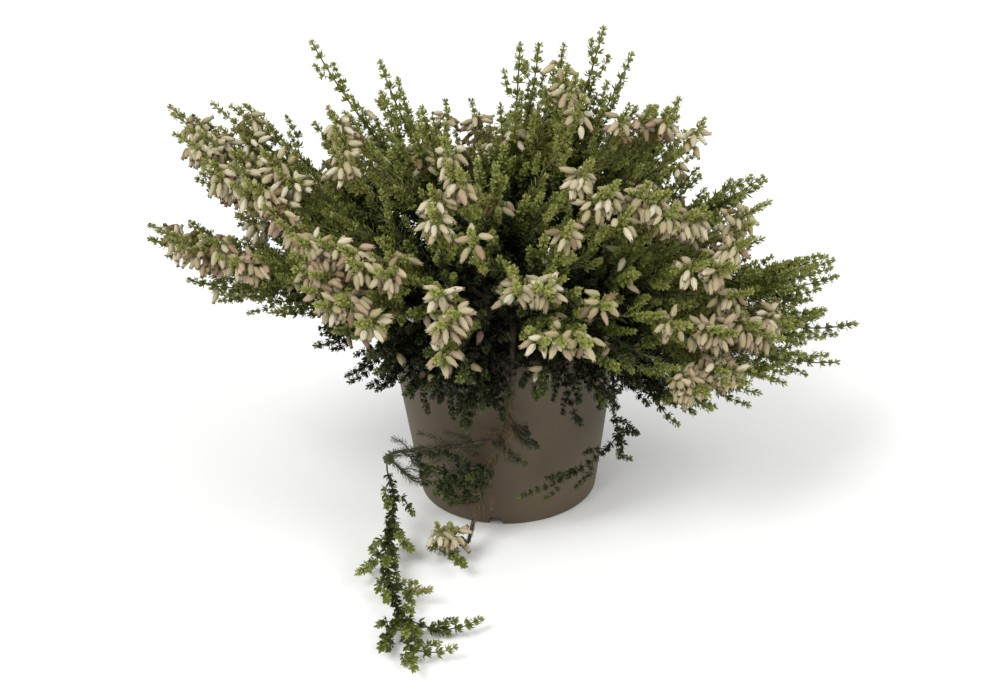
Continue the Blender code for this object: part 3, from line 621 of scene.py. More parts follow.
def back_clusters():
    """Flower clusters of the side that the photo doesn't show, spread by the golden ratio."""
    rng = random.Random(SEED + 77)
    clusters = []
    for number in range(BACK_CLUSTERS):
        heading = 12 + 156 * (number * 0.618034 % 1)
        lift = 2 + 54 * (number * 0.754878 % 1)
        mass = owner(heading, lift)
        reach = min(mass.leaders[0][2], BACK_CLUSTER_REACH) * rng.uniform(0.76, 0.89)
        reach *= 0.76 if mass.green_tip >= LONG_GREEN_TIP else 1
        clusters.append((heading, lift, reach, rng.randint(6, 12)))
    return clusters


def cluster_shoots(mass, stem, clusters):
    """A flowering shoot for each cluster in this mass's room."""
    rng = random.Random(mass.name + " clusters")
    shoots = []
    for heading, lift, reach, bells in clusters:
        if owner(heading, lift) is mass:
            way = (direction(heading, lift) + 0.4 * UP).normalized()
            curve = shoot_to(mass, stem, 0.12, crown_point(heading, lift, reach) + 10 * MM * way)
            shoots.append(Shoot(wavy(curve, rng, 5 * MM), 0.5 * MM, 0.28 * MM, 4, 0.7 * curve_length(curve),
                                34 * MM, 4.4 * MM, 0.8 + painted_top_light(mass), bells, 8 * MM))
    return shoots


def owner(heading, lift):
    """The crown mass whose room holds a direction."""
    way = direction(heading, lift)
    return max(CROWN_MASSES, key=lambda mass: middle_way(mass).dot(way))


def trail_shoots(mass):
    """Leading shoot from the mass's start, then each other leader from the nearest part of it."""
    start = Vector(mass.start) * MM
    rng = random.Random(mass.name + " sway")
    shoots = []
    for number, leader in enumerate(mass.leaders):
        first, second, tip = (Vector(point) * MM for point in leader)
        if number == 0:
            curve = wavy(interpolate_bezier(start, first, second, tip, TRAIL_STEM_POINTS), rng, 7 * MM)
            stem = curve
        else:
            root = min(stem[1:], key=lambda point: (point - first).length)
            curve = interpolate_bezier(root, root.lerp(first, 0.5), second, tip, TRAIL_TWIG_POINTS)
        for point in curve:
            point.z = max(point.z, 2.6 * MM)
        radius = 0.55 * MM if number == 0 else 0.4 * MM
        fresh = TRAIL_FRESH[number] if mass.name == "left_trail" else 0.5
        spacing = 4 * MM if mass.name == "right_trail" else 6 * MM
        leafy = 0.3 if mass.name == "left_trail" and number == BARE_LEADER else 0.96
        shoots.append(Shoot(curve, radius, 0.25 * MM, 4, leafy * curve_length(curve), 1, spacing, fresh))
    return shoots


def foot_sprigs():
    """Sprigs at the pot's foot whose bells fan out under a green top."""
    start = Vector(FOOT_SPRIG_START) * MM
    sprigs = []
    for place in FOOT_SPRIG_TIPS:
        tip = Vector(place) * MM
        low = start.lerp(tip, 0.5) - 2 * MM * UP
        curve = interpolate_bezier(start, low, tip - 9 * MM * UP, tip, TRAIL_TWIG_POINTS)
        sprigs.append(Shoot(curve, 0.45 * MM, 0.28 * MM, 4, 8 * MM, 8 * MM, 3.6 * MM, 0.8, FOOT_BELLS, 4 * MM))
    return sprigs


def wall_shoots():
    """Sprays that stand off the trailing stems along the pot's front, and the dry needles on the old stem."""
    routes = limb_routes(36, 90)
    stems = routes["trailing_stem_down_wall"][0] + routes["left_trailing_stem"][0]
    rng = random.Random(SEED + 78)
    shoots = []
    for place in WALL_TIPS * WALL_REPEATS:
        tip = Vector(place) * MM + 3 * MM * Vector((rng.uniform(-1, 1), rng.uniform(-1, 0), rng.uniform(-1, 1)))
        root = min(stems, key=lambda point: (point - tip).length + 0.5 * abs(point.z - tip.z - 14 * MM))
        outward = Vector((tip.x, tip.y, 0)).normalized()
        curve = interpolate_bezier(root, root.lerp(tip, 0.3) + 3 * MM * outward,
                                   root.lerp(tip, 0.7) + 4 * MM * outward, tip, TRAIL_TWIG_POINTS)
        shoots.append(Shoot(wavy(curve, rng, 4 * MM), 0.36 * MM, 0.22 * MM, 4, 0.95 * curve_length(curve), 3 * MM,
                            2.3 * MM, rng.uniform(0.15, 0.6)))
    for name, spacing, fresh in (("trailing_stem_over_rim", 1.9, DRY), ("trailing_stem_down_wall", 1.6, DRY),
                                 ("left_trailing_stem", 2.6, 0.35), ("right_trailing_stem", 3.4, 0.4)):
        curve = routes[name][0]
        shoots.append(Shoot(curve, 0.3 * MM, 0.3 * MM, 3, 0.94 * curve_length(curve), 0, spacing * MM, fresh))
    return shoots


def twiglets(shoots, rng, spacing, least, most):
    """Short leafy twigs off the leafy part of each shoot."""
    made = []
    for shoot in shoots:
        length = curve_length(shoot.curve)
        distance = length - shoot.leafy + spacing * rng.uniform(0.3, 1)
        turn = rng.uniform(0, math.tau)
        while distance < length - 14 * MM:
            root, along = point_along(shoot.curve, distance)
            side = Matrix.Rotation(turn, 3, along) @ along.orthogonal().normalized()
            way = (along + 0.75 * side).normalized()
            reach = min(rng.uniform(least, most), max(0.55 * (length - distance), least))
            tip = root + reach * (way + 0.25 * along + 0.12 * UP).normalized()
            middle = root + 0.5 * reach * (way + 0.2 * side).normalized()
            curve = [root, middle, tip]
            for point in curve[1:]:
                point.z = max(point.z, 2.6 * MM)
            if all(outside_pot(point, 2 * MM) for point in curve[1:]):
                fresh = shoot.fresh if shoot.fresh == DRY else shoot.fresh - 0.08
                beaded = 1 if shoot.beaded > 5 * MM else 0.6 * shoot.beaded
                made.append(Shoot(curve, 0.28 * MM, 0.18 * MM, 3, 0.9 * reach, beaded, 0.8 * shoot.spacing, fresh))
            turn += GOLDEN_TURN
            distance += spacing * rng.uniform(0.75, 1.25)
    return made


@functools.cache
def grown(group, fine, inner):
    """Every shoot of a group of masses."""
    clusters = front_clusters() + back_clusters()
    shoots = []
    for number, mass in enumerate(CROWN_MASSES):
        if mass.name in GROUPS[group]:
            space = Space(mass)
            stem = stem_curve(mass)
            nearest, furthest = FINE_REACHES.get(mass.name, FINE_REACH)
            shoots += source_shoots(mass, number, space, stem)
            shoots += fine_shoots(mass, number, space, stem, fine, nearest, furthest, 40 * MM)
            shoots += fine_shoots(mass, number, Space(mass, walled=False), stem, inner, 0.34, 0.62, 12 * MM)
            shoots += cluster_shoots(mass, stem, clusters)
            shoots += edge_shoots(mass, stem)
            shoots += hanging_shoots(mass, stem)
            if mass.entry_lift < LOW_RING_LIFT:
                shoots += rim_shoots(mass, stem, RIM_SHOOTS)
    spacing, least = 9.5 * MM, 8 * MM
    for mass in TRAIL_MASSES:
        if mass.name in GROUPS[group]:
            shoots += trail_shoots(mass)
            spacing, least = 7 * MM, 10 * MM
    if "wall_spray" in GROUPS[group]:
        shoots += wall_shoots() + foot_sprigs()
    return tuple(shoots + twiglets(shoots, random.Random(group), spacing, least, 20 * MM))


def transported(curve):
    """Tangent and side direction at each point of a line, with no twist along it."""
    side = (curve[1] - curve[0]).orthogonal().normalized()
    tangents = []
    sides = []
    for number in range(len(curve)):
        ahead = (curve[min(number + 1, len(curve) - 1)] - curve[max(number - 1, 0)]).normalized()
        side = (side - side.dot(ahead) * ahead).normalized()
        tangents.append(ahead)
        sides.append(side)
    return tangents, sides


def mesh_object(name, points, faces, looks, face_looks=None, smooth=True):
    """Object from arrays of points and of faces with equal numbers of corners."""
    mesh = bpy.data.meshes.new(name)
    corners = faces.shape[1]
    mesh.vertices.add(len(points))
    mesh.vertices.foreach_set("co", np.ascontiguousarray(points, np.float32).ravel())
    mesh.loops.add(faces.size)
    mesh.loops.foreach_set("vertex_index", np.ascontiguousarray(faces, np.int32).ravel())
    mesh.polygons.add(len(faces))
    mesh.polygons.foreach_set("loop_start", np.arange(0, faces.size, corners, dtype=np.int32))
    if face_looks is not None:
        mesh.polygons.foreach_set("material_index", np.ascontiguousarray(face_looks, np.int32))
    mesh.polygons.foreach_set("use_smooth", np.full(len(faces), smooth))
    mesh.update(calc_edges=True)
    for look in looks:
        mesh.materials.append(look)
    result = bpy.data.objects.new(name, mesh)
    bpy.context.scene.collection.objects.link(result)
    return result


def tubes(runs):
    """Points, triangles and look of each triangle for many tapering tubes that end in a point.

    A run is (curve, radii, sides, look of each stretch).
    """
    points = []
    faces = []
    looks = []
    first = 0
    for curve, radii, sides, stretch_looks in runs:
        tangents, side_ways = transported(curve)
        turns = np.arange(sides) * math.tau / sides
        middle = np.array(curve)
        across = np.array(side_ways)
        other = np.cross(np.array(tangents), across)
        ring = (np.cos(turns)[None, :, None] * across[:, None, :]
                + np.sin(turns)[None, :, None] * other[:, None, :])
        ring = middle[:, None, :] + np.array(radii)[:, None, None] * ring
        tip = middle[-1] + np.array(tangents[-1]) * radii[-1] * 2
        points.append(np.concatenate([ring.reshape(-1, 3), tip[None]]))
        rows = len(curve)
        base = first + np.arange(rows - 1)[:, None] * sides
        here = np.arange(sides)[None, :]
        after = (here + 1) % sides
        lower, lower_next = base + here, base + after
        upper, upper_next = lower + sides, lower_next + sides
        pair = np.stack([np.stack([lower, lower_next, upper_next], -1),
                         np.stack([lower, upper_next, upper], -1)], 2)
        faces.append(pair.reshape(-1, 3))
        looks.append(np.repeat(np.array(stretch_looks), 2 * sides))
        end = first + (rows - 1) * sides
        cap = np.stack([end + here[0], end + after[0], np.full(sides, first + rows * sides)], -1)
        faces.append(cap)
        looks.append(np.full(sides, stretch_looks[-1]))
        first += rows * sides + 1
    return np.concatenate(points), np.concatenate(faces), np.concatenate(looks)


def spread_copies(template, faces, origins, frames, sizes):
    """Points and faces of many copies of a small template, each turned by its frame and scaled by its sizes."""
    scaled = template[None] * sizes[:, None, :]
    points = np.einsum("nvi,nij->nvj", scaled, frames) + origins[:, None, :]
    shift = np.arange(len(origins))[:, None, None] * len(template)
    return points.reshape(-1, 3), (faces[None] + shift).reshape(-1, faces.shape[1])


def frames_along(ways, ups):
    """Frames whose first axis is the way, with the third as near as can be to the up direction."""
    ways = ways / np.linalg.norm(ways, axis=1, keepdims=True)
    across = np.cross(ups, ways)
    across /= np.maximum(np.linalg.norm(across, axis=1, keepdims=True), 1e-9)
    return np.stack([ways, across, np.cross(ways, across)], 1)


# A needle along +X: a blade folded along its middle
NEEDLE_POINTS = np.array(((0, 0, 0.12), (0.6, 0.5, -0.12), (0.6, -0.5, -0.12), (1, 0, 0.1)))
NEEDLE_FACES = np.array(((0, 3, 1), (0, 2, 3)))

# A tuft at one node of a shoot: turn, tilt from the shoot, and shares of length and width of each needle
BEADED_TUFT = tuple((turn * math.tau / 4, 18, 1.05, 0.9) for turn in range(4)) + \
    tuple((turn * math.tau / 5 + 0.5, 46, 1.0, 1.0) for turn in range(5)) + \
    tuple((turn * math.tau / 5 + 0.9, 74, 0.85, 1.0) for turn in range(5))
SPARSE_TUFT = tuple((turn * math.tau / 3, 34, 1.75, 0.42) for turn in range(3)) + \
    tuple((turn * math.tau / 3 + 1, 60, 1.55, 0.42) for turn in range(3))
TRAILING_TUFT = tuple((turn * math.tau / 4, 22, 1.7, 0.3) for turn in range(4)) + \
    tuple((turn * math.tau / 5 + 0.5, 42, 1.6, 0.3) for turn in range(5)) + \
    tuple((turn * math.tau / 5 + 0.9, 64, 1.35, 0.3) for turn in range(5))


def needle_nodes(shoots, rng):
    """Place, way, side, size and green of each beaded tuft and of each sparse one: its freshness, with painted
    shade deeper in the crown.
    """
    beaded = []
    sparse = []
    for shoot in shoots:
        length = curve_length(shoot.curve)
        from_tip = 0.3 * MM
        turn = rng.uniform(0, math.tau)
        step = 0.4 * shoot.spacing
        grown_size = 0.35 + 0.13 * shoot.spacing / MM
        while from_tip < min(shoot.leafy, length - 1 * MM):
            point, along = point_along(shoot.curve, length - from_tip)
            side = Matrix.Rotation(turn, 3, along) @ along.orthogonal().normalized()
            size = grown_size * (0.66 + 0.34 * min(1, from_tip / (9 * MM))) * rng.uniform(0.88, 1.12)
            fresh = DRY
            if shoot.fresh != DRY:
                # Painted shade inside the crown: the nearer a tuft lies to the crown centre, the darker its green,
                # less so higher up, down to a twentieth at the middle
                outside = 112 * MM - 0.35 * max(0, point.z - CROWN_CENTRE.z)
                depth = min(1, (point - CROWN_CENTRE).length / outside)
                fresh = shoot.fresh + 0.3 * math.exp(-from_tip / (12 * MM)) - 0.2 * min(1, from_tip / (60 * MM))
                fresh = fresh * (0.05 + 0.95 * depth ** 3) + rng.uniform(-0.08, 0.08)
            rows = beaded if from_tip < shoot.beaded else sparse
            rows.append((*point, *along, *side, size, fresh))
            closing = 0.66 if from_tip > 42 * MM else 1
            step = min(step * 1.3, closing * shoot.spacing) * rng.uniform(0.92, 1.08)
            from_tip += step
            turn += math.pi / 4
    return np.array(beaded).reshape(-1, 11), np.array(sparse).reshape(-1, 11)


def needles(nodes, tuft, length, width, rng):
    """Points, faces and look of each face for the needles of all tufts of one kind."""
    place, along, side, size, fresh = nodes[:, :3], nodes[:, 3:6], nodes[:, 6:9], nodes[:, 9], nodes[:, 10]
    other = np.cross(along, side)
    parts = []
    for turn, tilt, length_share, width_share in tuft:
        count = len(nodes)
        turns = turn + rng.normal(0, 0.2, count)
        tilts = np.radians(tilt + rng.normal(0, 9, count))
        out = np.cos(turns)[:, None] * side + np.sin(turns)[:, None] * other
        ways = np.cos(tilts)[:, None] * along + np.sin(tilts)[:, None] * out
        lengths = length * length_share * size * rng.uniform(0.85, 1.15, count)
        widths = np.full(count, width * width_share) * size
        origins = place + 0.25 * MM * out + rng.uniform(-0.5, 0.5, count)[:, None] * MM * along
        frames = frames_along(ways, along)
        keep = clear_of_pot(origins + lengths[:, None] * frames[:, 0]) & clear_of_pot(origins)
        sizes = np.stack([lengths, widths, widths], 1)
        points, faces = spread_copies(NEEDLE_POINTS, NEEDLE_FACES, origins[keep], frames[keep], sizes[keep])
        tint = np.clip((fresh[keep] + rng.normal(0, 0.05, keep.sum())) * len(GREENS), 0, len(GREENS) - 1)
        dry = len(GREENS) + rng.integers(0, len(DRY_TINTS), keep.sum())
        tint = np.where(fresh[keep] == DRY, dry, tint).astype(int)
        parts.append((points, faces, np.repeat(tint, len(NEEDLE_FACES))))
    return joined(parts)


def joined(parts):
    """One set of points, faces and looks from several."""
    starts = np.cumsum([0] + [len(points) for points, _, _ in parts[:-1]])
    return (np.concatenate([points for points, _, _ in parts]),
            np.concatenate([faces + start for start, (_, faces, _) in zip(starts, parts)]),
            np.concatenate([looks for _, _, looks in parts]))


def clear_of_pot(points):
    """True for the points above the surface and outside the pot."""
    height = points[:, 2]
    wall = np.where(height > POT_HEIGHT - POT_LIP_HEIGHT, POT_LIP_RADIUS,
                    POT_FOOT_RADIUS + (POT_BODY_RADIUS - POT_FOOT_RADIUS) * height / POT_HEIGHT)
    outside = np.hypot(points[:, 0], points[:, 1]) > wall + 0.3 * MM
    return (height > 0.4 * MM) & (outside | (height > POT_HEIGHT + 0.3 * MM))


def bell_template():
    """A bell along +X, of unit length and radius: corolla with a lobed mouth, the hollow inside, and the calyx.

    Looks: 0 the corolla, 1 the hollow, coloured brown as painted shade, 2 the calyx.
    """
    sides = 8
    rings = ((0.0, 0.34, 0), (0.18, 0.9, 0), (0.5, 0.98, 0), (0.86, 0.52, 0), (1.0, 0.58, 0.22), (0.7, 0.44, 0))
    points = []
    for share, radius, lobe in rings:
        for step in range(sides):
            turn = math.tau * step / sides
            swell = 1 + lobe * (1 if step % 2 else -1)
            back = -0.05 if lobe and step % 2 == 0 else 0
            points.append((share + back, radius * swell * math.cos(turn), radius * swell * math.sin(turn)))
    faces = []
    looks = []
    for ring in range(len(rings) - 1):
        for step in range(sides):
            after = (step + 1) % sides
            here, ahead = ring * sides, (ring + 1) * sides
            faces += [(here + step, here + after, ahead + after), (here + step, ahead + after, ahead + step)]
            looks += [1 if ring == len(rings) - 2 else 0] * 2
    end = (len(rings) - 1) * sides
    for step in range(1, sides - 1):
        faces.append((end, end + step, end + step + 1))
        looks.append(1)
    for sepal in range(4):
        first = len(points)
        turn = math.tau * sepal / 4
        for share, radius, swing in ((-0.03, 0.2, -0.9), (-0.03, 0.2, 0.9), (0.16, 0.98, 0), (0.34, 1.1, 0)):
            points.append((share, radius * math.cos(turn + swing), radius * math.sin(turn + swing)))
        faces += [(first, first + 1, first + 2), (first, first + 2, first + 3), (first + 1, first + 3, first + 2)]
        looks += [2] * 3
    return np.array(points, float), np.array(faces), np.array(looks)


def bells(shoots, length, radius, rng):
    """Points, faces and look of each face for all the bells of some shoots, and the runs of their stalks."""
    places = []
    ways = []
    sizes = []
    tints = []
    stalks = []
    for shoot in shoots:
        total = curve_length(shoot.curve)
        turn = rng.uniform(0, math.tau)
        family = BELL_FAMILIES[rng.choice(len(BELL_FAMILIES)) if shoot.curve[-1].z > CROWN_BOTTOM else 0]
        for number in range(shoot.bells):
            distance = total - shoot.bell_start - number // 5 * 3.2 * MM - rng.uniform(0, 2) * MM
            point, along = point_along(shoot.curve, max(distance, 0.3 * total))
            turn += math.tau / 5 + (0.6 if number % 5 == 0 else 0) + rng.normal(0, 0.25)
            out = Matrix.Rotation(turn, 3, along) @ along.orthogonal().normalized()
            reach = rng.uniform(1.4, 4.4) * MM
            start = point + reach * (out + 0.2 * along - 0.1 * UP).normalized()
            droop = 0.68 if start.z > FLOOR_ZONE else 0.45
            lean = Vector(rng.normal(0, 0.24, 3))
            way = (0.8 * out - droop * UP + 0.1 * along + lean).normalized()
            end = start + length * way
            if not (outside_pot(end, 2.2 * MM) and outside_pot(start, 1 * MM)):
                continue
            if end.z < 2.6 * MM or touches_limb(end, 1 * MM):
                continue
            places.append(start)
            ways.append(way)
            sizes.append((length * rng.uniform(0.76, 1.14), radius * rng.uniform(0.84, 1.12)))
            tints.append(rng.choice(family))
            middle = point.lerp(start, 0.55) + 0.35 * MM * UP
            stalks.append(([point, middle, start], [0.2 * MM, 0.18 * MM, 0.24 * MM], 3, [0, 0]))
    template, faces, part_looks = bell_template()
    places, ways = np.array(places), np.array(ways)
    sizes = np.array(sizes)[:, [0, 1, 1]]
    frames = frames_along(ways, rng.normal(0, 1, (len(ways), 3)))
    points, all_faces = spread_copies(template, faces, places, frames, sizes)
    corolla = np.array(tints)[:, None]
    looks = np.where(part_looks[None] == 0, corolla, len(BELL_TINTS) - 1 + part_looks[None])
    return (points, all_faces, looks.ravel()), stalks


# Greens from the shaded inside to the fresh tips, dealt out by tuft
GREENS = (
    ("needle_shade", (0.008, 0.012, 0.003)),
    ("needle_deep", (0.016, 0.023, 0.005)),
    ("needle_dark", (0.034, 0.045, 0.009)),
    ("needle_mid", (0.064, 0.082, 0.015)),
    ("needle_full", (0.108, 0.132, 0.022)),
    ("needle_bright", (0.155, 0.182, 0.031)),
    ("needle_fresh", (0.210, 0.235, 0.044)),
    ("needle_tip", (0.270, 0.285, 0.066)),
)

# Browns of the dry needles on the old trailing stem
DRY_TINTS = (
    ("needle_dry", (0.075, 0.046, 0.020)),
    ("needle_straw", (0.150, 0.105, 0.045)),
)

# Bell tints, and the mixes of them that the clusters take
BELL_TINTS = (
    ("bell_white", (0.52, 0.47, 0.33)),
    ("bell_cream", (0.42, 0.36, 0.22)),
    ("bell_ivory", (0.33, 0.28, 0.155)),
    ("bell_blush", (0.35, 0.26, 0.17)),
    ("bell_rose", (0.27, 0.18, 0.11)),
    ("bell_faded", (0.18, 0.12, 0.06)),
)
BELL_FAMILIES = ((0, 0, 1, 1, 2), (0, 1, 1, 2, 2), (0, 1, 2, 2, 3), (1, 1, 2, 3, 4), (1, 2, 2, 3, 5))
# Painted shade: the brown of the hollow inside each bell's mouth
HOLLOW_SHADE = (0.24, 0.16, 0.09)
CALYX_GREEN = (0.24, 0.25, 0.09)


def principled(name, colour, roughness):
    """New material, with its shader and node tree."""
    look = bpy.data.materials.new(name)
    look.use_nodes = True
    shader = look.node_tree.nodes["Principled BSDF"]
    shader.inputs["Base Color"].default_value = (*colour, 1)
    shader.inputs["Roughness"].default_value = roughness
    look.diffuse_color = (*colour, 1)
    return look, shader, look.node_tree


def add_noise(tree, scale, detail, stretch=(1, 1, 1)):
    """Noise in the object's own space, stretched along its axes."""
    place = tree.nodes.new("ShaderNodeTexCoord")
    spread = tree.nodes.new("ShaderNodeMapping")
    spread.inputs["Scale"].default_value = stretch
    pattern = tree.nodes.new("ShaderNodeTexNoise")
    pattern.inputs["Scale"].default_value = scale
    pattern.inputs["Detail"].default_value = detail
    tree.links.new(place.outputs["Object"], spread.inputs["Vector"])
    tree.links.new(spread.outputs["Vector"], pattern.inputs["Vector"])
    return pattern.outputs["Fac"]


def add_ramp(tree, source, stops):
    """Colour ramp over a pattern, from (place, colour) stops."""
    ramp = tree.nodes.new("ShaderNodeValToRGB")
    ramp.color_ramp.elements[0].position = stops[0][0]
    ramp.color_ramp.elements[0].color = (*stops[0][1], 1)
    ramp.color_ramp.elements[1].position = stops[-1][0]
    ramp.color_ramp.elements[1].color = (*stops[-1][1], 1)
    for position, colour in stops[1:-1]:
        ramp.color_ramp.elements.new(position).color = (*colour, 1)
    tree.links.new(source, ramp.inputs["Fac"])
    return ramp.outputs["Color"]


def add_bump(tree, shader, source, strength, distance):
    """Bump from a pattern."""
    bump = tree.nodes.new("ShaderNodeBump")
    bump.inputs["Strength"].default_value = strength
    bump.inputs["Distance"].default_value = distance
    tree.links.new(source, bump.inputs["Height"])
    tree.links.new(bump.outputs["Normal"], shader.inputs["Normal"])


def shaded(colour, factor):
    """A colour made lighter or darker by a factor."""
    return tuple(min(1, part * factor) for part in colour)


def needle_look(name, colour):
    """Slightly waxy needle green."""
    look, shader, tree = principled(name, colour, 0.5)
    shader.inputs["Specular IOR Level"].default_value = 0.35
    add_bump(tree, shader, add_noise(tree, 900, 2), 0.25, 0.2 * MM)
    return look


def bell_look(name, colour):
    """Papery, faintly translucent petal."""
    look, shader, tree = principled(name, colour, 0.55)
    shader.inputs["Subsurface Weight"].default_value = 0.12
    shader.inputs["Subsurface Radius"].default_value = (1.5 * MM, 1.1 * MM, 0.7 * MM)
    shader.inputs["Specular IOR Level"].default_value = 0.3
    add_bump(tree, shader, add_noise(tree, 700, 3), 0.3, 0.2 * MM)
    return look


def bark_look(name, colour):
    """Thin brown bark with lengthwise ridges and paler flakes."""
    look, shader, tree = principled(name, colour, 0.85)
    grain = add_noise(tree, 420, 6)
    tint = add_ramp(tree, grain, ((0.3, shaded(colour, 0.5)), (0.5, colour), (0.72, shaded(colour, 1.7))))
    tree.links.new(tint, shader.inputs["Base Color"])
    add_bump(tree, shader, grain, 0.6, 0.4 * MM)
    return look


def plastic_look(name, colour):
    """Matte moulded plastic with a fine skin texture and faint dust."""
    look, shader, tree = principled(name, colour, 0.6)
    shader.inputs["Specular IOR Level"].default_value = 0.3
    dust = add_noise(tree, 26, 5)
    tint = add_ramp(tree, dust, ((0.3, shaded(colour, 0.92)), (0.55, colour), (0.75, shaded(colour, 1.1))))
    tree.links.new(tint, shader.inputs["Base Color"])
    add_bump(tree, shader, add_noise(tree, 1500, 2), 0.12, 0.1 * MM)
    return look


def soil_look(name, colour):
    """Dark, fibrous peat."""
    look, shader, tree = principled(name, colour, 0.95)
    grain = add_noise(tree, 300, 8)
    tint = add_ramp(tree, grain, ((0.3, shaded(colour, 0.4)), (0.55, colour), (0.75, shaded(colour, 2.2))))
    tree.links.new(tint, shader.inputs["Base Color"])
    add_bump(tree, shader, grain, 0.8, 1 * MM)
    return look


def placed(piece, slot, *nodes):
    """Piece riding on the plant's one body, and the solids that it stands for; the slot is not used."""
    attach(piece, BODY)
    if nodes:
        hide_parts(*nodes)
    return piece


def lathe(profile, sides, relief=None):
    """Points and triangles of a turned form whose profile starts and ends on the axis or at a free edge."""
    turns = np.arange(sides) * math.tau / sides
    profile = np.array(profile)
    radius = np.repeat(profile[:, :1], sides, 1)
    height = np.repeat(profile[:, 1:], sides, 1)
    if relief:
        shift = np.array([[relief(turn, *row) for turn in turns] for row in profile])
        radius = radius + shift[:, :, 0]
        height = height + shift[:, :, 1]
    points = np.stack([radius * np.cos(turns), radius * np.sin(turns), height], -1).reshape(-1, 3)
    rows = np.arange(len(profile) - 1)[:, None] * sides
    here = np.arange(sides)[None, :]
    after = (here + 1) % sides
    quads = np.stack([rows + here, rows + after, rows + after + sides, rows + here + sides], -1).reshape(-1, 4)
    return points, np.concatenate([quads[:, [0, 1, 2]], quads[:, [0, 2, 3]]])


def weld(piece):
    """Merge the points that meet, drop flat faces and turn the faces outwards."""
    shape = bmesh.new()
    shape.from_mesh(piece.data)
    bmesh.ops.remove_doubles(shape, verts=shape.verts, dist=0.005 * MM)
    bmesh.ops.dissolve_degenerate(shape, edges=shape.edges, dist=0.001 * MM)
    bmesh.ops.recalc_face_normals(shape, faces=shape.faces)
    shape.to_mesh(piece.data)
    shape.free()


def arc(radius, height, edge, start, end, steps=5):
    """Profile points round a corner whose arc centre is (radius, height)."""
    turns = [start + (end - start) * step / steps for step in range(steps + 1)]
    return [(radius + edge * math.cos(turn), height + edge * math.sin(turn)) for turn in turns]


def rough(point, scale, seed):
    """Smooth noise at a place, from minus one to one."""
    return noise.noise(Vector(point) * scale + Vector((seed, 3.1 * seed, 0.7)))


def cut(piece, tools):
    """Cut a group of solids out of a piece by one Boolean, and remove them."""
    group = bpy.data.collections.new(piece.name + "_cuts")
    bpy.context.scene.collection.children.link(group)
    for tool in tools:
        bpy.context.scene.collection.objects.unlink(tool)
        group.objects.link(tool)
    boolean = piece.modifiers.new("cut", "BOOLEAN")
    boolean.operation = "DIFFERENCE"
    boolean.solver = "EXACT"
    boolean.operand_type = "COLLECTION"
    boolean.collection = group
    bpy.context.view_layer.update()
    shape = bpy.data.meshes.new_from_object(piece.evaluated_get(bpy.context.evaluated_depsgraph_get()))
    piece.modifiers.clear()
    piece.data = shape
    for tool in tools:
        bpy.data.objects.remove(tool)
    bpy.data.collections.remove(group)


class HeatherPot(bpy.types.PropertyGroup):
    """Pot sizes and colour."""

    colour: FloatVectorProperty(name="Wall colour", description="Colour of the plastic", size=3, min=0, max=1,
                                subtype="COLOR", default=(0.098, 0.075, 0.045))
    segments: IntProperty(name="Segments", description="Faces round the pot", default=128, min=32, max=256)
    edge: FloatProperty(name="Edge rounding", description="Radius of the rounded edges", default=1.2 * MM,
                        min=0.2 * MM, max=1.8 * MM, unit="LENGTH")


class HeatherSoil(bpy.types.PropertyGroup):
    """Soil colour and crumbs."""

    colour: FloatVectorProperty(name="Soil colour", description="Colour of the peat", size=3, min=0, max=1,
                                subtype="COLOR", default=(0.035, 0.025, 0.016))
    crumbs: IntProperty(name="Crumbs", description="Loose crumbs on the soil", default=1500, min=0, max=5000)
    crumb_size: FloatProperty(name="Crumb size", description="Mean radius of a crumb", default=0.9 * MM,
                              min=0.2 * MM, max=3 * MM, unit="LENGTH")


class HeatherBark(bpy.types.PropertyGroup):
    """Bark of the stock, boughs and trailing stems."""

    colour: FloatVectorProperty(name="Bark colour", description="Colour of old bark", size=3, min=0, max=1,
                                subtype="COLOR", default=(0.060, 0.042, 0.024))
    relief: FloatProperty(name="Relief", description="Depth of the ridges as a share of the radius",
                          default=0.16, min=0, max=0.4, subtype="FACTOR")


class HeatherShoots(bpy.types.PropertyGroup):
    """Twigs and needles."""

    fine: IntProperty(name="Fine shoots", description="Long fine shoots in each crown mass", default=21, min=0,
                      max=60)
    inner: IntProperty(name="Inner shoots", description="Short shoots inside each crown mass", default=14, min=0,
                       max=60)
    needle_length: FloatProperty(name="Needle length", description="Length of a full-grown needle",
                                 default=3.5 * MM, min=1 * MM, max=12 * MM, unit="LENGTH")
    needle_width: FloatProperty(name="Needle width", description="Width of a needle", default=1.65 * MM,
                                min=0.2 * MM, max=3 * MM, unit="LENGTH")
    stem_colour: FloatVectorProperty(name="Young stem colour", description="Colour of young stems", size=3,
                                     min=0, max=1, subtype="COLOR", default=(0.11, 0.09, 0.035))


class HeatherBells(bpy.types.PropertyGroup):
    """Flower bells."""

    length: FloatProperty(name="Bell length", description="Length of a bell", default=6.8 * MM, min=3 * MM,
                          max=20 * MM, unit="LENGTH")
    radius: FloatProperty(name="Bell radius", description="Radius of a bell's belly", default=1.55 * MM,
                          min=0.8 * MM, max=6 * MM, unit="LENGTH")


class HeatherStage(bpy.types.PropertyGroup):
    """Floor, light and camera."""

    floor_colour: FloatVectorProperty(name="Floor colour", description="Colour of the floor", size=3, min=0,
                                      max=1, subtype="COLOR", default=(0.92, 0.92, 0.91))
    sky: FloatProperty(name="Surrounding light", description="Strength of the light from all sides",
                       default=0.75, min=0, max=3)
    key: FloatProperty(name="Main light", description="Power of the light from the upper left", default=116,
                       min=0, max=500, unit="POWER")
    lens: FloatProperty(name="Lens", description="Focal length of the camera", default=66.2, min=20, max=200,
                        unit="CAMERA")


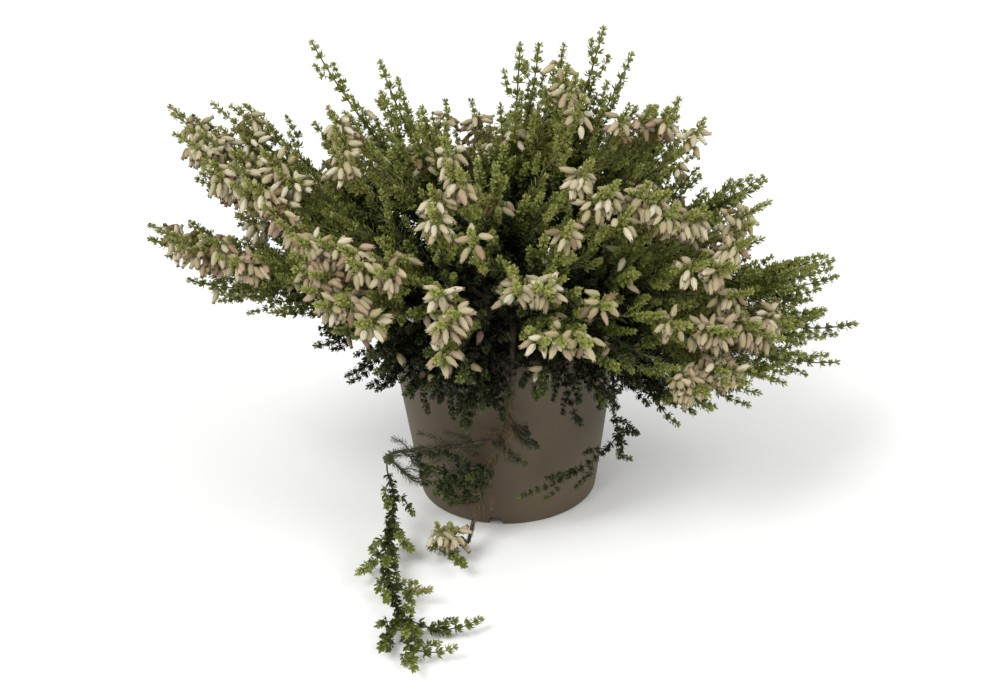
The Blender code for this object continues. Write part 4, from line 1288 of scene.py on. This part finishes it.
class HEATHER_OT_pot(bpy.types.Operator):
    """Add the pot over its solid"""

    bl_idname = "heather.pot"
    bl_label = "Pot"

    def execute(self, context):
        sizes = context.scene.heather_pot
        edge = sizes.edge
        lip_bottom = POT_HEIGHT - POT_LIP_HEIGHT
        wall_top = pot_outer_radius(lip_bottom)
        inner_top = POT_BODY_RADIUS - POT_WALL
        inner_foot = pot_outer_radius(POT_FLOOR) - POT_WALL
        profile = [(0, 0)]
        profile += arc(POT_FOOT_RADIUS - edge, edge, edge, -math.pi / 2, 0)
        profile += [(pot_outer_radius(height), height) for height in (12 * MM, 30 * MM, 50 * MM, 70 * MM)]
        profile += [(wall_top, lip_bottom - 0.2 * MM), (wall_top + 0.8 * MM, lip_bottom)]
        profile += arc(POT_LIP_RADIUS - 0.8 * MM, lip_bottom + 0.9 * MM, 0.8 * MM, -math.pi / 2, 0, 3)
        profile += arc(POT_LIP_RADIUS - edge, POT_HEIGHT - edge, edge, 0, math.pi / 2)
        profile += arc(inner_top + 0.6 * MM, POT_HEIGHT - 0.6 * MM, 0.6 * MM, math.pi / 2, math.pi, 3)
        profile += [(inner_top - 0.4 * MM, 80 * MM), (inner_foot, POT_FLOOR), (0, POT_FLOOR)]
        points, faces = lathe(profile, sizes.segments)
        plastic = plastic_look("pot_plastic", sizes.colour)
        pot = mesh_object("pot_shell", points, faces, [plastic])
        weld(pot)
        tools = []
        for number in range(NOTCH_COUNT):
            shape = bmesh.new()
            bmesh.ops.create_cube(shape, size=1)
            bmesh.ops.bevel(shape, geom=shape.edges, offset=0.12, segments=3, affect="EDGES")
            size = Matrix.Diagonal((NOTCH_DEPTH * 2, NOTCH_WIDTH, NOTCH_HEIGHT * 2, 1))
            turn = math.radians(NOTCH_HEADING + 360 * number / NOTCH_COUNT)
            place = Matrix.Rotation(turn, 4, "Z") @ Matrix.Translation((POT_FOOT_RADIUS + NOTCH_OUTWARD, 0, 0))
            shape.transform(place @ size)
            mesh = bpy.data.meshes.new(f"notch_{number}")
            shape.to_mesh(mesh)
            shape.free()
            tools.append(bpy.data.objects.new(f"notch_{number}", mesh))
            context.scene.collection.objects.link(tools[-1])
        cut(pot, tools)
        pot.data.shade_smooth()
        pot.data.set_sharp_from_angle(angle=math.radians(40))
        placed(pot, "pot_plastic", "pot")
        return {"FINISHED"}


class HEATHER_OT_soil(bpy.types.Operator):
    """Add the soil and its loose crumbs over its solid"""

    bl_idname = "heather.soil"
    bl_label = "Soil"

    def execute(self, context):
        sizes = context.scene.heather_soil
        bottom = POT_FLOOR + GAP
        foot = pot_outer_radius(POT_FLOOR) - POT_WALL - 2 * GAP
        rim = foot + (POT_BODY_RADIUS - POT_FOOT_RADIUS) / POT_HEIGHT * (SOIL_LEVEL - bottom)
        top = [(rim * share, SOIL_LEVEL - SOIL_CROWN * share ** 2) for share in np.linspace(1, 0, 26)]
        profile = [(0, bottom), (foot, bottom)] + top

        def lumps(turn, radius, height):
            if height < SOIL_LEVEL - 2 * SOIL_CROWN or radius > 0.98 * rim:
                return 0, 0
            place = (radius * math.cos(turn), radius * math.sin(turn), 0)
            return 0, 0.7 * MM * rough(place, 260, 1) + 0.4 * MM * rough(place, 700, 2)

        points, faces = lathe(profile, 96, lumps)
        earth = soil_look("soil", sizes.colour)
        soil = mesh_object("soil_filling", points, faces, [earth])
        weld(soil)
        placed(soil, "soil", "soil")
        rng = np.random.default_rng(SEED + 1)
        count = sizes.crumbs
        radius = (rim - 1.5 * MM) * np.sqrt(rng.uniform(0, 1, count))
        turn = rng.uniform(0, math.tau, count)
        size = sizes.crumb_size * rng.uniform(0.4, 1.5, count)
        height = SOIL_LEVEL - SOIL_CROWN * (radius / rim) ** 2 + 0.3 * size
        origins = np.stack([radius * np.cos(turn), radius * np.sin(turn), height], 1)
        crumb = np.array(((1, 0, 0), (-0.9, 0.1, 0.1), (0.1, 0.8, 0), (0, -1, 0.1), (0.1, 0, 0.7), (0, 0.1, -0.7)))
        sides = np.array(((0, 2, 4), (2, 1, 4), (1, 3, 4), (3, 0, 4), (2, 0, 5), (1, 2, 5), (3, 1, 5), (0, 3, 5)))
        frames = frames_along(rng.normal(0, 1, (count, 3)), rng.normal(0, 1, (count, 3)))
        sizes3 = size[:, None] * rng.uniform(0.6, 1.2, (count, 3))
        points, faces = spread_copies(crumb, sides, origins, frames, sizes3)
        placed(mesh_object("soil_crumbs", points, faces, [earth], smooth=False), "soil")
        return {"FINISHED"}


class HEATHER_OT_stock(bpy.types.Operator):
    """Add the woody stock over its solid"""

    bl_idname = "heather.stock"
    bl_label = "Stock"

    def execute(self, context):
        sizes = context.scene.heather_bark
        bottom = SOIL_LEVEL - 1 * MM
        centre = stock_centre().z
        profile = [(0, bottom), (STOCK_FLARE, bottom), (STOCK_FLARE, bottom + 1.2 * MM)]
        profile += [(STOCK_FLARE - 2 * MM * share, bottom + (1.2 + 2.6 * share) * MM) for share in (0.3, 0.7, 1)]
        profile += [(STOCK_RADIUS * math.cos(turn), centre + STOCK_RADIUS * math.sin(turn))
                    for turn in np.linspace(0.12, math.pi / 2, 22)]

        def ridges(turn, radius, height):
            place = (math.cos(turn), math.sin(turn), 14 * height)
            depth = sizes.relief * (0.5 * rough(place, 4, 5) + 0.35 * rough(place, 11, 6))
            lobe = 0.08 * math.cos(STOCK_LOBES * turn) * max(0, 1 - (height - bottom) / (6 * MM))
            return radius * (depth + lobe), 0

        points, faces = lathe(profile, 96, ridges)
        stock = mesh_object("stock_wood", points, faces, [bark_look("stock_bark", sizes.colour)])
        weld(stock)
        placed(stock, "bark", "stock")
        return {"FINISHED"}


def rough_limb(curve, root_radius, tip_radius, relief, seed):
    """Points and triangles of a limb whose bark is ridged lengthwise, with a swollen root and a closed tip."""
    sides = 12
    tangents, side_ways = transported(curve)
    rows = len(curve)
    points = []
    for number in range(rows):
        share = number / (rows - 1)
        radius = root_radius + (tip_radius - root_radius) * share
        radius *= 1 + 0.45 * math.exp(-share * 14)
        other = tangents[number].cross(side_ways[number])
        for step in range(sides):
            turn = math.tau * step / sides
            place = (math.cos(turn), math.sin(turn), 160 * curve_share(curve, number))
            swell = 1 + relief * (rough(place, 1.9, seed) + 0.6 * rough(place, 5.3, seed + 9))
            points.append(curve[number] + radius * swell * (math.cos(turn) * side_ways[number]
                                                            + math.sin(turn) * other))
    points.append(curve[-1] + 0.4 * tip_radius * tangents[-1])
    here = np.arange(sides)
    after = (here + 1) % sides
    base = np.arange(rows - 1)[:, None] * sides
    lower, lower_next = base + here, base + after
    faces = np.concatenate([np.stack([lower, lower_next, lower_next + sides], -1).reshape(-1, 3),
                            np.stack([lower, lower_next + sides, lower + sides], -1).reshape(-1, 3)])
    end = (rows - 1) * sides
    cap = np.stack([end + here, end + after, np.full(sides, rows * sides)], -1)
    return np.array(points), np.concatenate([faces, cap])


def curve_share(curve, number):
    """Distance along a line of evenly spaced points, in metres."""
    return number * (curve[1] - curve[0]).length


def limbs_piece(name, routes, look, relief):
    """One piece of several limbs."""
    all_points = []
    all_faces = []
    first = 0
    for seed, (curve, root_radius, tip_radius) in enumerate(routes):
        lead = [curve[0] - 1.2 * MM * (curve[1] - curve[0]).normalized()]
        points, faces = rough_limb(lead + curve, root_radius, tip_radius, relief, seed)
        all_points.append(points)
        all_faces.append(faces + first)
        first += len(points)
    return mesh_object(name, np.concatenate(all_points), np.concatenate(all_faces), [look])


class HEATHER_OT_boughs(bpy.types.Operator):
    """Add the barked boughs and trailing stems over their solids"""

    bl_idname = "heather.boughs"
    bl_label = "Boughs"

    def execute(self, context):
        sizes = context.scene.heather_bark
        look = bark_look("bough_bark", sizes.colour)
        routes = limb_routes(36, 90)
        boughs = [bough_name(mass) for mass in CROWN_MASSES]
        trails = [limb.name for limb in TRAIL_LIMBS]
        placed(limbs_piece("bough_wood", [routes[name] for name in boughs], look, sizes.relief), "bark", *boughs)
        crooked = [(wavy(routes[name][0], random.Random(name), 1.6 * MM), *routes[name][1:]) for name in trails]
        placed(limbs_piece("trailing_wood", crooked, look, 1.6 * sizes.relief), "bark", *trails)
        return {"FINISHED"}


def group_shoots(context, group):
    """Every shoot of a group of masses, at the panel's settings."""
    sizes = context.scene.heather_shoots
    return grown(group, sizes.fine, sizes.inner)


class HEATHER_OT_twigs(bpy.types.Operator):
    """Add the twigs of every mass over its solid"""

    bl_idname = "heather.twigs"
    bl_label = "Twigs"

    def execute(self, context):
        sizes = context.scene.heather_shoots
        old = bark_look("twig_bark", context.scene.heather_bark.colour)
        young = bark_look("young_stem", sizes.stem_colour)
        for group, masses in GROUPS.items():
            runs = []
            for shoot in group_shoots(context, group):
                points = len(shoot.curve)
                shares = np.linspace(0, 1, points)
                radii = shoot.root_radius + (shoot.tip_radius - shoot.root_radius) * shares
                woody = 0.55 if shoot.sides > 3 else 0.15
                runs.append((shoot.curve, radii, shoot.sides, (shares[1:] > woody).astype(int)))
            points, faces, looks = tubes(runs)
            placed(mesh_object(group + "_twigs", points, faces, [old, young], looks), "bark", *masses)
        return {"FINISHED"}


class HEATHER_OT_needles(bpy.types.Operator):
    """Add the tufts of needles along every shoot"""

    bl_idname = "heather.needles"
    bl_label = "Needles"

    def execute(self, context):
        sizes = context.scene.heather_shoots
        looks = [needle_look(name, colour) for name, colour in GREENS + DRY_TINTS]
        for number, group in enumerate(GROUPS):
            rng = np.random.default_rng(SEED + 20 + number)
            beaded, sparse = needle_nodes(group_shoots(context, group), rng)
            loose = TRAILING_TUFT if group == "trailing" else SPARSE_TUFT
            made = [needles(nodes, tuft, sizes.needle_length, sizes.needle_width, rng)
                    for nodes, tuft in ((beaded, BEADED_TUFT), (sparse, loose))]
            points, faces, face_looks = joined(made)
            placed(mesh_object(group + "_needles", points, faces, looks, face_looks), "shoots")
        return {"FINISHED"}


class HEATHER_OT_bells(bpy.types.Operator):
    """Add the flower bells and their stalks"""

    bl_idname = "heather.bells"
    bl_label = "Bells"

    def execute(self, context):
        sizes = context.scene.heather_bells
        looks = [bell_look(name, colour) for name, colour in BELL_TINTS]
        looks += [bell_look("bell_hollow", HOLLOW_SHADE), needle_look("bell_calyx", CALYX_GREEN)]
        stalk_look = needle_look("bell_stalk", CALYX_GREEN)
        stalks = []
        for number, group in enumerate(GROUPS):
            rng = np.random.default_rng(SEED + 40 + number)
            made, runs = bells(group_shoots(context, group), sizes.length, sizes.radius, rng)
            stalks += runs
            points, faces, face_looks = made
            placed(mesh_object(group + "_bells", points, faces, looks, face_looks), "shoots")
        points, faces, _ = tubes(stalks)
        placed(mesh_object("bell_stalks", points, faces, [stalk_look]), "shoots")
        return {"FINISHED"}


class HEATHER_OT_stage(bpy.types.Operator):
    """Add the pale floor, the soft lights and the camera"""

    bl_idname = "heather.stage"
    bl_label = "Stage"

    def execute(self, context):
        sizes = context.scene.heather_stage
        floor_mesh = bpy.data.meshes.new("floor")
        shape = bmesh.new()
        bmesh.ops.create_grid(shape, x_segments=2, y_segments=2, size=4)
        shape.to_mesh(floor_mesh)
        shape.free()
        look, shader, tree = principled("floor_paper", sizes.floor_colour, 0.9)
        add_bump(tree, shader, add_noise(tree, 200, 2), 0.05, 0.2 * MM)
        floor_mesh.materials.append(look)
        floor = bpy.data.objects.new("floor", floor_mesh)
        context.scene.collection.objects.link(floor)
        world = bpy.data.worlds.new("studio")
        world.use_nodes = True
        world.node_tree.nodes["Background"].inputs["Color"].default_value = (1, 1, 1, 1)
        world.node_tree.nodes["Background"].inputs["Strength"].default_value = sizes.sky
        context.scene.world = world
        self.add_light("main_light", Vector((-2.0, -2.0, 3.3)), 2.0, sizes.key)
        self.add_light("side_light", Vector((2.6, -1.1, 2.4)), 2.0, 0.45 * sizes.key)
        self.add_camera(context, sizes.lens)
        context.scene.view_settings.view_transform = "Standard"
        return {"FINISHED"}

    def add_light(self, name, place, size, power):
        """Square soft light aimed at the crown."""
        light = bpy.data.lights.new(name, "AREA")
        light.size = size
        light.energy = power
        lamp = bpy.data.objects.new(name, light)
        lamp.location = place
        lamp.rotation_euler = (CROWN_CENTRE - place).to_track_quat("-Z", "Y").to_euler()
        bpy.context.scene.collection.objects.link(lamp)

    def add_camera(self, context, lens):
        """Camera at the photo's viewing angle: above the front, with a slight roll."""
        lift = math.radians(26.02)
        roll = math.radians(1.75)
        target = Vector((-2.3, 0, 75.7)) * MM
        forward = Vector((0, math.cos(lift), -math.sin(lift)))
        level_up = Vector((0, math.sin(lift), math.cos(lift)))
        level_right = Vector((1, 0, 0))
        right = level_right * math.cos(roll) - level_up * math.sin(roll)
        up = level_right * math.sin(roll) + level_up * math.cos(roll)
        camera = bpy.data.cameras.new("camera")
        camera.lens = lens
        camera.sensor_width = 36
        eye = bpy.data.objects.new("camera", camera)
        turned = Matrix((right, up, -forward)).transposed().to_4x4()
        eye.matrix_world = Matrix.Translation(target - 0.9 * forward) @ turned
        context.scene.collection.objects.link(eye)
        context.scene.camera = eye


GROUP_PROPERTIES = (
    ("heather_pot", HeatherPot),
    ("heather_soil", HeatherSoil),
    ("heather_bark", HeatherBark),
    ("heather_shoots", HeatherShoots),
    ("heather_bells", HeatherBells),
    ("heather_stage", HeatherStage),
)
OPERATORS = (HEATHER_OT_pot, HEATHER_OT_soil, HEATHER_OT_stock, HEATHER_OT_boughs, HEATHER_OT_twigs,
             HEATHER_OT_needles, HEATHER_OT_bells, HEATHER_OT_stage)


class HEATHER_PT_panel(bpy.types.Panel):
    """Sidebar panel with the settings and the operators"""

    bl_idname = "HEATHER_PT_panel"
    bl_label = "Potted bell heather"
    bl_space_type = "VIEW_3D"
    bl_region_type = "UI"
    bl_category = "Heather"

    def draw(self, context):
        for name, group in GROUP_PROPERTIES:
            box = self.layout.box()
            for key in group.__annotations__:
                box.prop(getattr(context.scene, name), key)
        for operator in OPERATORS:
            self.layout.operator(operator.bl_idname)


def register():
    """Register the settings, operators and panel."""
    for name, group in GROUP_PROPERTIES:
        bpy.utils.register_class(group)
        setattr(bpy.types.Scene, name, PointerProperty(type=group))
    for operator in OPERATORS:
        bpy.utils.register_class(operator)
    bpy.utils.register_class(HEATHER_PT_panel)


def unregister():
    """Remove what register added."""
    bpy.utils.unregister_class(HEATHER_PT_panel)
    for operator in reversed(OPERATORS):
        bpy.utils.unregister_class(operator)
    for name, group in reversed(GROUP_PROPERTIES):
        delattr(bpy.types.Scene, name)
        bpy.utils.unregister_class(group)


def main():
    """Add every piece in order."""
    register()
    bpy.ops.heather.pot()
    bpy.ops.heather.soil()
    bpy.ops.heather.stock()
    bpy.ops.heather.boughs()
    bpy.ops.heather.twigs()
    bpy.ops.heather.needles()
    bpy.ops.heather.bells()
    bpy.ops.heather.stage()


if __name__ == "__main__":
    main()
